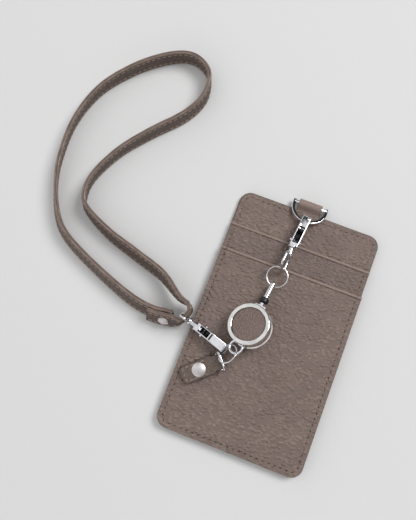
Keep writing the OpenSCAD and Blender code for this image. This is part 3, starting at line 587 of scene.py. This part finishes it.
def panel(name, node, materials, inset=0.0, round_top=True, mouth=False, face_down=False):
    """A flat leather piece over its CAD solid: a grid whose lines close up at the edges. At each y, x reaches
    out to the outline's half width there: half - r + r * sqrt(1 - cut^2) within r of a round end."""
    low, high = box_mm(node)
    low = low + [inset, inset * round_top, 0]
    high = high - [inset, inset * round_top, 0]
    height, half = high[1] - low[1], (high[0] - low[0]) / 2
    middle_y = np.linspace(EVEN_FROM_END, height - EVEN_FROM_END, int(height - 2 * EVEN_FROM_END) + 1)
    down = np.concatenate([EDGE_LINES, middle_y, height - EDGE_LINES[::-1]])
    y = low[1] + down
    cut = np.clip(1 - down / CORNER_R, 0, 1)
    if round_top:
        cut = np.maximum(cut, np.clip(1 - (height - down) / CORNER_R, 0, 1))
    reach = half - CORNER_R + CORNER_R * np.sqrt(1 - cut**2)
    middle_x = np.linspace(-1, 1, EVEN_ACROSS)[1:-1]
    left = -reach[:, None] + EDGE_LINES[None]
    x = np.concatenate([left, (reach[:, None] - EVEN_FROM_SIDE) * middle_x[None], -left[:, ::-1]], 1)
    x = x + (low[0] + high[0]) / 2
    y = np.repeat(y[:, None], x.shape[1], 1)
    lift = panel_face(x, y, low, high, round_top, mouth)
    shown, flat = high[2] + lift, low[2]
    if face_down:
        shown, flat = low[2] + BACK_REST - lift, high[2]
    rows, cols = x.shape
    points = np.concatenate([np.stack([x, y, z], -1).reshape(-1, 3) for z in (shown, np.full_like(x, flat))])
    quads = grid_quads(rows, cols)
    count = rows * cols
    border = np.concatenate([
        np.arange(cols), np.arange(1, rows) * cols + cols - 1,
        (rows - 1) * cols + np.arange(cols - 2, -1, -1), np.arange(rows - 2, 0, -1) * cols])
    after = np.roll(border, -1)
    wall = np.stack([border, after, after + count, border + count], 1)
    faces = np.concatenate([quads, quads + count, wall])
    # The strip just below a pocket's mouth takes the lighter lip leather: a painted highlight on the bead
    lip_highlight_mask = np.repeat((height - down[1:] < LIP_HIGHLIGHT_WIDTH) & mouth, cols - 1)
    kinds = np.concatenate([np.where(lip_highlight_mask, 2, 0), np.zeros(len(quads), int), np.ones(len(wall), int)])
    piece = put_mesh(name, points, faces.tolist(), materials, kinds, crease=50)
    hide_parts(node)
    return piece


def rounded_outline(low, high, r):
    """Outline of a rectangle with round corners, counter-clockwise from the middle of its lower side."""
    corners = [(high[0] - r, low[1] + r, -90), (high[0] - r, high[1] - r, 0), (low[0] + r, high[1] - r, 90),
               (low[0] + r, low[1] + r, 180)]
    angles = np.radians(np.linspace(0, 90, 13))
    arcs = [np.stack([x + r * np.cos(angles + math.radians(a)), y + r * np.sin(angles + math.radians(a))], 1)
            for x, y, a in corners]
    start = np.array([[(low[0] + high[0]) / 2, low[1]]])
    line = np.concatenate([start, *arcs, start])
    lengths = np.concatenate([[0], np.cumsum(np.hypot(*np.diff(line, axis=0).T))])
    at = np.linspace(0, lengths[-1], int(lengths[-1] / OUTLINE_STEP))
    return np.stack([np.interp(at, lengths, line[:, 0]), np.interp(at, lengths, line[:, 1])], 1)


def cut_openings(piece, outlines, low_z, high_z, material):
    """Cuts prisms with these outlines out of a piece; the cut walls take the material."""
    for outline in outlines:
        flat = outline[:-1]
        rings = np.stack([np.column_stack([flat, np.full(len(flat), z)]) for z in (low_z, high_z)])
        cutter = loft("cutter", rings, [material])
        change = piece.modifiers.new("opening", "BOOLEAN")
        change.operation = "DIFFERENCE"
        change.object = cutter
        change.solver = "EXACT"
        change.material_mode = "TRANSFER"
        bpy.context.view_layer.update()
        shape = bpy.data.meshes.new_from_object(piece.evaluated_get(bpy.context.evaluated_depsgraph_get()))
        piece.modifiers.remove(change)
        piece.data = shape
        bpy.data.objects.remove(cutter)


def sew(name, line, heights, up):
    """A sewn line on the wallet: threads lying in its groove, and at the needle holes half a pitch further
    on, dark spindles of painted shade.
    """
    path = np.column_stack([line, heights])
    at = spaced(path, np.column_stack([path, ways_along(path)]), STITCH_PITCH, STITCH_PITCH / 2)
    places, ways = at[:, :3], unit(at[:, 3:6])
    ups = np.broadcast_to(up, places.shape)
    between = places + ways * STITCH_PITCH / 2
    rows = threads(name, places, ways, ups, STITCH_LENGTH, THREAD_W, THREAD_H, thread)
    holes = threads(name + "_holes", between, ways, ups, HOLE_L, HOLE_W, THREAD_H, needle_hole_shade)
    for piece in (rows, holes):
        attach(piece, "wallet")


front = panel("front_leather", "front_panel", [wallet_leather, edge_paint], inset=0.4)
upper = panel(
    "upper_pocket_leather", "upper_pocket", [pocket_leather, edge_paint, lip_highlight_leather],
    inset=0.2, round_top=False, mouth=True
)
main = panel(
    "main_pocket_leather", "main_pocket", [wallet_leather, edge_paint, lip_highlight_leather],
    round_top=False, mouth=True
)
back = panel("back_frame_leather", "back_frame", [back_leather, edge_paint], inset=0.05, face_down=True)
for piece in (front, upper, main, back):
    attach(piece, "wallet")

front_low, front_high = box_mm("front_panel")
upper_low, upper_high = box_mm("upper_pocket")
main_low, main_high = box_mm("main_pocket")
back_low, back_high = box_mm("back_frame")
sheet_low, sheet_high = box_mm("id_window")
window_low = sheet_low + SHEET_OVERLAP
window_high = sheet_high - SHEET_OVERLAP
slit_low = np.array([-SLIT_W / 2, window_high[1] + SLIT_RISE])
slit_high = slit_low + [SLIT_W, SLIT_T]
cut_openings(
    back,
    [rounded_outline(window_low, window_high, WINDOW_R), rounded_outline(slit_low, slit_high, SLIT_T / 2)],
    back_low[2] - OVERCUT,
    back_high[2] + OVERCUT,
    edge_paint,
)


def front_height(x, y):
    """Height of the wallet's front: the face of the highest layer at each place."""
    on_front = front_high[2] + panel_face(x, y, front_low, front_high, True)
    on_upper = upper_high[2] + panel_face(x, y, upper_low, upper_high, False, True)
    on_main = main_high[2] + panel_face(x, y, main_low, main_high, False, True)
    return np.where(y < main_high[1], on_main, np.where(y < upper_high[1], on_upper, on_front))


def back_height(x, y):
    """Height of the wallet's back, which faces down."""
    return back_low[2] + BACK_REST - panel_face(x, y, back_low, back_high, True)


UP = np.array([0.0, 0.0, 1.0])
THREAD_LIFT = 0.02
seam = rounded_outline(front_low + STITCH_INSET, front_high - STITCH_INSET, SEAM_CORNER_R)
sew("front_stitching", seam, front_height(*seam.T) + THREAD_LIFT, UP)
sew("back_stitching", seam, back_height(*seam.T) - THREAD_LIFT, -UP)
frame_seam = rounded_outline(
    window_low - FRAME_SEAM_OUT, window_high + FRAME_SEAM_OUT, WINDOW_R + FRAME_SEAM_OUT
)
sew("window_stitching", frame_seam, back_height(*frame_seam.T), -UP)


# Straps and folded leather


def strip_section(half_t, half_w, corner, crown=0.0, groove_in=1.0, groove=0.0, seam_depth=0.0):
    """Section of a leather strip as (thickness, width) pairs: faces crowned as 1 - u^2 with a groove along
    each side, round corners and, on the two edges, a seam between the plies. Its kinds are 0 for a face,
    1 for an edge and 2 for the seam."""
    across = np.concatenate([[-1, -0.92], np.linspace(-0.84, 0.84, 13), [0.92, 1]]) * (half_w - corner)
    from_side = half_w - np.abs(across)
    sewn = groove * np.exp(-(((from_side - groove_in) / STRIP_GROOVE_W) ** 2))
    face = half_t + crown * (1 - (across / half_w) ** 2) - sewn
    turn = np.radians([22.5, 45, 67.5])
    over = np.array([1, 0.45, 0.15, 0, -0.15, -0.45, -1]) * (half_t - corner)
    edge = half_w - seam_depth * np.exp(-((over / (STRIP_SEAM_W * half_t)) ** 2))
    arc = np.stack([half_t - corner + corner * np.cos(turn), half_w - corner + corner * np.sin(turn)], 1)
    front_face = np.stack([face, across], 1)
    top_edge = np.stack([over, edge], 1)
    half = np.concatenate([front_face, arc, top_edge, (arc * [-1, 1])[::-1]])
    kinds = np.concatenate([np.zeros(len(front_face) - 1), np.ones(len(half) - len(front_face) + 1)])
    if seam_depth:
        seam_at = len(front_face) + len(arc) + len(top_edge) // 2
        kinds[seam_at - 1 : seam_at + 1] = 2
    return np.concatenate([half, -half]), np.concatenate([kinds, kinds]).astype(int)


def strip(name, line, sides, ups, section, kinds, materials, widths=None, thicks=None):
    """A strip along a line: at each point the section's pairs lie along its side and its up."""
    widths = np.ones(len(line)) if widths is None else widths
    thicks = np.ones(len(line)) if thicks is None else thicks
    rings = (
        line[:, None]
        + sides[:, None] * (section[None, :, 0] * thicks[:, None])[..., None]
        + ups[:, None] * (section[None, :, 1] * widths[:, None])[..., None]
    )
    return loft(name, rings, materials, kinds, crease=50)


def lean_frame(line, leans):
    """Way, side and upward edge of a strip that stands on edge and leans by these angles."""
    ways = ways_along(line)
    level = unit(np.stack([-ways[:, 1], ways[:, 0], np.zeros(len(ways))], 1))
    upright = np.cross(ways, level)
    c, s = np.cos(np.radians(leans))[:, None], np.sin(np.radians(leans))[:, None]
    return ways, c * level - s * upright, c * upright + s * level


# The strap's middle line: shares of the loop's reach and height from the hook's eye, the lean of the upper
# edge, and the lift off the table as a share of the width
LOOP_SHARES = np.array([
    [-0.167, -0.030, -30, 0.06], [-0.308, -0.014, -28, 0.03], [-0.546, 0.046, -24, 0],
    [-0.758, 0.116, -22, 0], [-0.862, 0.184, -20, 0], [-0.942, 0.293, -15, 0], [-0.988, 0.413, -10, 0],
    [-0.996, 0.579, -6, 0], [-0.929, 0.742, 0, 0], [-0.784, 0.877, 4, 0], [-0.624, 0.967, 6, 0],
    [-0.500, 0.999, 6, 0], [-0.400, 0.977, 4, 0], [-0.351, 0.929, 0, 0], [-0.344, 0.844, -8, 0],
    [-0.408, 0.751, -10, 0], [-0.552, 0.637, -8, 0], [-0.680, 0.519, -4, 0], [-0.764, 0.389, 0, 0],
    [-0.767, 0.299, 6, 0], [-0.713, 0.248, 14, 0], [-0.555, 0.193, 22, 0], [-0.360, 0.151, 26, 0.04],
    [-0.182, 0.112, 24, 0.14]])
# Places near the eye, in strap thicknesses, with the lean and the height over the eye as a share of the width
INNER_SHARES = np.array([[-1.70, -0.95, -20, -0.20], [-3.30, -1.30, -28, -0.23]])
FOLD_SHARES = np.array([
    [-1.95, 3.25, 10, 0.14], [0.55, 2.45, 0, 0.11], [1.42, 1.25, -4, 0.07], [1.02, 0.00, 0, 0.02],
    [0.24, -1.45, -5, -0.05], [-1.45, -2.10, -28, -0.10], [-3.40, -2.44, -30, -0.12],
    [-5.30, -2.62, -30, -0.14], [-7.30, -2.70, -30, -0.16]])


def near_eye(shares):
    """Points beside the eye: its end plus thicknesses along X and Y, and a share of the width along Z."""
    return np.column_stack([
        EYE_END[0] + shares[:, 0] * STRAP_T, EYE_END[1] + shares[:, 1] * STRAP_T,
        EYE_END[2] + shares[:, 3] * STRAP_W, shares[:, 2]])


def round_loop(shares):
    """Points of the loop: its lower edge rests on the table, lifted by the last share of the width."""
    lean = np.radians(shares[:, 2])
    z = FLOOR_GAP + STRAP_W / 2 * np.cos(lean) + STRAP_T / 2 * np.abs(np.sin(lean)) + shares[:, 3] * STRAP_W
    return np.column_stack([
        EYE_END[0] + shares[:, 0] * LOOP_REACH, EYE_END[1] + shares[:, 1] * LOOP_HEIGHT, z, shares[:, 2]])


strap_line = smooth_line(
    np.concatenate([near_eye(INNER_SHARES), round_loop(LOOP_SHARES), near_eye(FOLD_SHARES)]), STRAP_STEPS
)
strap_path, strap_lean = strap_line[:, :3], strap_line[:, 3]
strap_ways, strap_sides, strap_ups = lean_frame(strap_path, strap_lean)
strap_section, strap_kinds = strip_section(
    STRAP_T / 2 - STRAP_SKIN_IN, STRAP_W / 2 - STRAP_EDGE_IN, STRAP_CORNER, STRAP_CROWN, STRAP_STITCH_INSET,
    STRAP_GROOVE, STRAP_SEAM
)
strap = strip(
    "wrist_strap_leather", strap_path, strap_sides, strap_ups, strap_section, strap_kinds,
    [strap_leather, strap_edge_paint, seam_dark]
)
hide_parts("wrist_strap")
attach(strap, "strap")


def sew_strap(face, edge):
    """A sewn line on one face of the strap, along one edge."""
    values = np.column_stack([strap_path, strap_ways, strap_sides, strap_ups])
    at = spaced(strap_path, values, STRAP_PITCH, STRAP_STITCH_ENDS)
    ways, sides, ups = unit(at[:, 3:6]), unit(at[:, 6:9]), unit(at[:, 9:12])
    level = STRAP_T / 2 - STRAP_STITCH_SINK
    places = at[:, :3] + sides * face * level + ups * edge * (STRAP_W / 2 - STRAP_STITCH_INSET)
    name = ("outer" if face > 0 else "inner") + ("_upper" if edge > 0 else "_lower")
    rows = threads("strap_stitching_" + name, places, ways, sides * face, *STRAP_STITCH, strap_thread)
    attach(rows, "strap")


for face in (-1, 1):
    for edge in (-1, 1):
        sew_strap(face, edge)


def folded(points, start, turn, steps):
    """A smooth line through (y, z) places in a piece's own frame: the flat line, then its places, its sides
    that face out of the fold and its direction across, all turned and moved to where the piece lies."""
    flat = smooth_line(points, steps)
    line = np.column_stack([np.zeros(len(flat)), flat])
    ways = ways_along(line)
    sides = np.stack([np.zeros(len(line)), ways[:, 2], -ways[:, 1]], 1)
    return flat, start + line @ turn.T, sides @ turn.T, np.broadcast_to(turn[:, 0], line.shape)


# The ring's tab: out of the wallet's edge, over the bar and back
tab_low, tab_high = box_mm("loop_tab")
ring_edge = front_high[1]
bar_y = tab_high[1] - TAB_BAR_IN
bar_z = tab_high[2] - TAB_BAR_IN
slot_z = (back_high[2] + front_low[2]) / 2
tab_slant = COS_45 * TAB_R
tab_points = [
    (tab_low[1], slot_z + TAB_PLY_RISE), (ring_edge - 2, slot_z + TAB_PLY_RISE),
    (ring_edge + 0.1, slot_z + 0.24), (ring_edge + 1.3, slot_z + 1.05), (ring_edge + 2.4, bar_z + 1.15),
    (bar_y, bar_z + TAB_R), (bar_y + tab_slant, bar_z + tab_slant), (bar_y + TAB_R, bar_z),
    (bar_y + tab_slant, bar_z - tab_slant), (bar_y, bar_z - TAB_R), (ring_edge + 1.6, slot_z - 0.42),
    (ring_edge, slot_z - 0.2), (ring_edge - 2, slot_z - TAB_PLY_RISE), (tab_low[1], slot_z - TAB_PLY_RISE)]
tab_flat, tab_line, tab_sides, tab_across = folded(
    tab_points, np.array([(tab_low[0] + tab_high[0]) / 2, 0, 0]), np.eye(3), 8
)
tab_section, tab_kinds = strip_section(TAB_LOOP_T / 2, (tab_high[0] - tab_low[0]) / 2, TAB_CORNER)
tab_thick = np.interp(tab_flat[:, 0], [ring_edge, ring_edge + 1.6], [TAB_TAIL_T / TAB_LOOP_T, 1])
tab = strip(
    "ring_tab_leather", tab_line, tab_sides, tab_across, tab_section, tab_kinds, [tab_leather, edge_paint],
    thicks=tab_thick
)
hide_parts("loop_tab")
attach(tab, "wallet")

# The fob: one strip folded over its ring's bar, both plies sewn and riveted together
fob_turn = turning(*FOB_TURN)
fob_bar = centre_mm("fob_rivet_back") - fob_turn @ [0, -FOB_RIVET, -FOB_SOLID_T - RIVET_BACK_T / 2]
fob_r = FOB_BAR_R + FOB_T / 2
ply = FOB_T / 2 + PLY_GAP
fob_half = [
    (-FOB_L, ply), (-14, ply), (-10, ply), (-6.2, ply + 0.02), (-3.6, ply + 0.2), (-1.7, fob_r - 0.22),
    (0, fob_r), (COS_45 * fob_r, COS_45 * fob_r)]
fob_points = fob_half + [(fob_r, 0)] + [(y, -z) for y, z in fob_half[::-1]]
fob_flat, fob_line, fob_sides, fob_across = folded(fob_points, fob_bar, fob_turn, 10)
fob_y = fob_flat[:, 0]
fob_width = np.interp(fob_y, [-3.2, -2.2], [1, FOB_NECK_W / FOB_W])
tail = np.clip(1 - (fob_y + FOB_L) / FOB_CORNER_R, 0, 1)
fob_width = fob_width - (1 - np.sqrt(1 - np.minimum(tail, FOB_TAIL_CUT) ** 2)) * FOB_CORNER_R / (FOB_W / 2)
fob_section, fob_kinds = strip_section(
    FOB_T / 2, FOB_W / 2, FOB_EDGE_R, FOB_CROWN, FOB_STITCH_INSET, FOB_GROOVE
)
fob = strip(
    "fob_folded_leather", fob_line, fob_sides, fob_across, fob_section, fob_kinds,
    [fob_leather, fob_edge_paint], widths=fob_width
)
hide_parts("fob_leather")
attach(fob, "fob")


def sew_fob(face):
    """The sewn line round the fob's tail, on its upper or lower face."""
    half, end, r = FOB_W / 2 - FOB_STITCH_INSET, FOB_STITCH_INSET - FOB_L, FOB_SEAM_R
    angles = np.radians(np.linspace(0, 90, 7))
    arc = np.stack([half - r + r * np.cos(angles), end + r - r * np.sin(angles)], 1)
    side = np.concatenate([[[half, FOB_SEAM_NECK]], arc, [[0, end]]])
    line = np.concatenate([side, (side * [-1, 1])[::-1][1:]])
    path = np.column_stack([line, np.full(len(line), face * (2 * ply - FOB_STITCH_SINK))])
    at = spaced(path, np.column_stack([path, ways_along(path)]), FOB_PITCH, FOB_STITCH_ENDS)
    places = fob_bar + at[:, :3] @ fob_turn.T
    ways = unit(at[:, 3:6]) @ fob_turn.T
    ups = np.broadcast_to(face * fob_turn[:, 2], places.shape)
    name = "fob_stitching_" + ("upper" if face > 0 else "lower")
    rows = threads(name, places, ways, ups, *FOB_STITCH, strap_thread)
    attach(rows, "fob")


for face in (-1, 1):
    sew_fob(face)

# The reel's leather inlay: a crowned disc with a round edge
reel_turn = turning(*REEL_TURN)


def inlay_profile(count):
    """Radii and heights of the inlay from its underside round to its middle: a quarter-round edge, then a
    crown of INLAY_CROWN * (1 - (r / R)^2) with a faint ripple, in this many circles."""
    edge = np.radians(np.linspace(0, 90, 7))[1:]
    top, flat_r = INLAY_H - INLAY_SINK, INLAY_R - INLAY_ROLL
    foot = [INLAY_HOLE_R, INLAY_R - INLAY_FOOT_IN, INLAY_R]
    radius = np.concatenate([foot, flat_r + INLAY_ROLL * np.cos(edge)])
    z = np.concatenate([[0, 0, INLAY_FOOT_H], top - INLAY_ROLL + INLAY_ROLL * np.sin(edge)])
    inward = np.linspace(flat_r, INLAY_HOLE_R, count)[1:]
    crown = top + INLAY_CROWN * (1 - (inward / INLAY_R) ** 2) + RIPPLE * np.sin(inward * RIPPLE_RATE)
    return np.concatenate([radius, inward]), np.concatenate([z, crown])


inlay_r, inlay_z = inlay_profile(22)
around = np.arange(INLAY_SIDES) * math.tau / INLAY_SIDES
inlay_rings = np.stack(
    [inlay_r[:, None] * np.cos(around), inlay_r[:, None] * np.sin(around),
     np.repeat((inlay_z - INLAY_H / 2)[:, None], INLAY_SIDES, 1)], -1
)
inlay = loft("reel_inlay_leather", centre_mm("reel_inlay") + inlay_rings @ reel_turn.T, [reel_leather])
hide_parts("reel_inlay")
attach(inlay, "reel")

# The cord between the stop bead and the reel, which pays out as the reel is pulled away
tube_centre = centre_mm("cord_end_tube")
bead_centre = centre_mm("cord_stopper")
cord_way = unit(bead_centre - tube_centre)
cord_start = bead_centre + cord_way * BEAD_HALF
cord_mouth = cord_start + cord_way * BEAD_GAP
reel_in = -reel_turn[:, 1]
cord_side = unit(np.cross(cord_way, [0, 0, 1]))
cord_up = np.cross(cord_side, cord_way)
cord_points = np.array([
    tube_centre, cord_start - cord_way * CORD_BACK, cord_start, cord_mouth, cord_mouth + reel_in * CORD_BEND,
    cord_mouth + reel_in * CORD_INSIDE])
cord_round = np.arange(CORD_SIDES) * math.tau / CORD_SIDES
cord_rings = (
    cord_points[:, None]
    + CORD_R * np.cos(cord_round)[None, :, None] * cord_side
    + CORD_R * np.sin(cord_round)[None, :, None] * cord_up
)
cord = loft("reel_cord", cord_rings, [black_braid])
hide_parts("pull_cord", "cord_core")
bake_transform(cord)

# Finishes of the CAD nodes that stay
NODE_FINISHES = {
    lining: ["centre_board"],
    film: ["id_window"],
    chrome: ["upper_lever_pin", "lower_lever_pin", "reel_nozzle", "reel_bail"],
    wire_chrome: ["upper_eye", "lower_eye", "jump_ring", "fob_jump_ring", "fob_d_ring", "cord_end_tube"],
    shell_steel: ["reel_back_cover", "reel_case", "reel_bezel"],
    rivet_metal: ["strap_rivet_cap", "strap_rivet_back", "fob_rivet_cap", "fob_rivet_back"],
    spring_steel: ["reel_mainspring", "reel_arbor"],
    spring_black: ["upper_lever_spring", "lower_lever_spring"],
    bead_black: ["cord_stopper"],
    spool_white: ["reel_spool"],
    black_braid: ["wound_cord"],
}
for finish, names in NODE_FINISHES.items():
    for node in names:
        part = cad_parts[node]
        part.data.materials.clear()
        part.data.materials.append(finish)


def softened(node, body, slot, finishes, radius, seat=None, turn=(), shank=0.0):
    """A cast part with round edges: its CAD faces joined again, and its sharp edges bevelled. With a seat,
    the bottom of the groove behind a hook's head, in the hook's own frame, takes the second finish, a black
    painted shade."""
    work = bmesh.new()
    work.from_mesh(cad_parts[node].data)
    bmesh.ops.remove_doubles(work, verts=work.verts, dist=MERGE_GAP * MM)
    bmesh.ops.dissolve_limit(work, angle_limit=math.radians(FLAT_ANGLE), verts=work.verts, edges=work.edges)
    if seat is not None:
        # Painted shade: the faces at the groove's bottom take the black second finish
        head_end = -HEAD_L - shank
        for face in work.faces:
            _, y, z = turning(*turn).T @ (np.array(face.calc_center_median()) / MM - seat)
            if head_end - HEAD_GROOVE < y < head_end and GROOVE_FLOOR < z < GROOVE_FLOOR + GROOVE_RISE:
                face.material_index = 1
    mesh = bpy.data.meshes.new(node + "_cast")
    work.to_mesh(mesh)
    work.free()
    for finish in finishes:
        mesh.materials.append(finish)
    mesh.shade_smooth()
    piece = bpy.data.objects.new(node + "_cast", mesh)
    bpy.context.scene.collection.objects.link(piece)
    edges = piece.modifiers.new("round_edges", "BEVEL")
    edges.width = radius * MM
    edges.segments = 3
    edges.limit_method = "ANGLE"
    edges.angle_limit = math.radians(SHARP_ANGLE)
    edges.harden_normals = True
    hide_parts(node)
    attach(piece, body)


hook_cast = ("chrome_cast", [chrome, groove_painted_shade], HOOK_BEVEL)
softened("d_ring", "ring", "chrome_cast", [chrome], RING_BEVEL)
softened("upper_hook_body", "upper_hook", *hook_cast, UPPER_SEAT, UPPER_HOOK_TURN)
softened("lower_hook_body", "lower_hook", *hook_cast, LOWER_SEAT, LOWER_HOOK_TURN, LOWER_SHANK)
softened("upper_lever", "upper_trigger", "black_lever", [lever_black], LEVER_BEVEL)
softened("lower_lever", "lower_trigger", "black_lever", [lever_black], LEVER_BEVEL)


# Floor, light and camera


def floor_finish():
    """Pale matt paper with a faint tooth."""
    n = Nodes("pale_floor")
    tooth = n.noise(n.place(), 900, 4).outputs["Fac"]
    return n.finish(
        Base_Color=n.mix(tooth, tint(226, 226, 226), tint(222, 222, 222)),
        Roughness=0.9,
        Specular_IOR_Level=0.2,
        Normal=n.bump(tooth, 0.00002, 0.3),
    )


corners = np.array([[-1, -1], [1, -1], [1, 1], [-1, 1]]) * FLOOR_HALF
floor = put_mesh("floor", np.column_stack([corners, np.full(4, FLOOR_Z)]), [[0, 1, 2, 3]], [floor_finish()])


def photo_way(right, up, rise):
    """A direction given as the photograph's right and up along the table, and the rise over it."""
    c, s = math.cos(math.radians(PHOTO_TURN)), math.sin(math.radians(PHOTO_TURN))
    return Vector((right * c - up * s, right * s + up * c, rise))


def aim(thing, place, target, upright):
    """Puts a lamp or the camera at a place, looking at the target with this direction upright."""
    back_way = (place - target).normalized()
    right = upright.cross(back_way).normalized()
    turn = Matrix((right, back_way.cross(right), back_way)).transposed().to_4x4()
    thing.matrix_world = Matrix.Translation(place * MM) @ turn


# The key light: a square soft lamp, high over the upper right
lamp = bpy.data.lights.new("key_lamp", "AREA")
lamp.size = KEY_SIZE * MM
lamp.energy = KEY_POWER
key_lamp = bpy.data.objects.new("key_lamp", lamp)
bpy.context.scene.collection.objects.link(key_lamp)
aim(key_lamp, CAMERA_AIM + photo_way(*KEY_PLACE), CAMERA_AIM, Vector((0.01, 1, 0)))


def studio():
    """A studio round the object: light from overhead, from the left and from low in front, darker behind and
    right. Each light is a smooth step from 0 to its level, between two values of one component of the
    direction. The wall that the camera sees is plain and pale."""
    room = bpy.data.worlds.new("studio")
    room.use_nodes = True
    tree = room.node_tree
    background = tree.nodes["Background"]

    def node(kind, **settings):
        made = tree.nodes.new(kind)
        for key, value in settings.items():
            setattr(made, key, value)
        return made

    parts = node("ShaderNodeSeparateXYZ")
    tree.links.new(node("ShaderNodeTexCoord").outputs["Generated"], parts.inputs[0])

    def step(component, dark_at, full_at, level):
        ramp = node("ShaderNodeMapRange", interpolation_type="SMOOTHSTEP")
        tree.links.new(parts.outputs[component], ramp.inputs["Value"])
        for name, value in {"From Min": dark_at, "From Max": full_at, "To Min": 0.0, "To Max": level}.items():
            ramp.inputs[name].default_value = value
        return ramp.outputs["Result"]

    def larger(a, b):
        made = node("ShaderNodeMath", operation="MAXIMUM")
        for socket, source in zip(made.inputs, (a, b)):
            if isinstance(source, float):
                socket.default_value = source
            else:
                tree.links.new(source, socket)
        return made.outputs[0]

    overhead, left, low_front = step("Z", *OVERHEAD_STEP), step("X", *LEFT_STEP), step("Y", *FRONT_STEP)
    level = larger(larger(overhead, left), larger(low_front, ROOM_LIGHT))
    seen = node("ShaderNodeMix", data_type="RGBA")
    tree.links.new(node("ShaderNodeLightPath").outputs["Is Camera Ray"], seen.inputs[0])
    tree.links.new(level, seen.inputs[6])
    seen.inputs[7].default_value = tint(222, 222, 222)
    tree.links.new(seen.outputs[2], background.inputs["Color"])
    return room


bpy.context.scene.world = studio()

camera_data = bpy.data.cameras.new("camera")
camera_data.sensor_fit = "HORIZONTAL"
camera_data.sensor_width = SENSOR
camera_data.lens = FOCAL_PX / PHOTO_W * SENSOR
camera_data.clip_start = 0.01
camera = bpy.data.objects.new("camera", camera_data)
bpy.context.scene.collection.objects.link(camera)
aim(camera, CAMERA_PLACE, CAMERA_AIM, photo_way(0, 1, 0))
bpy.context.scene.camera = camera
bpy.context.scene.view_settings.view_transform = "Standard"
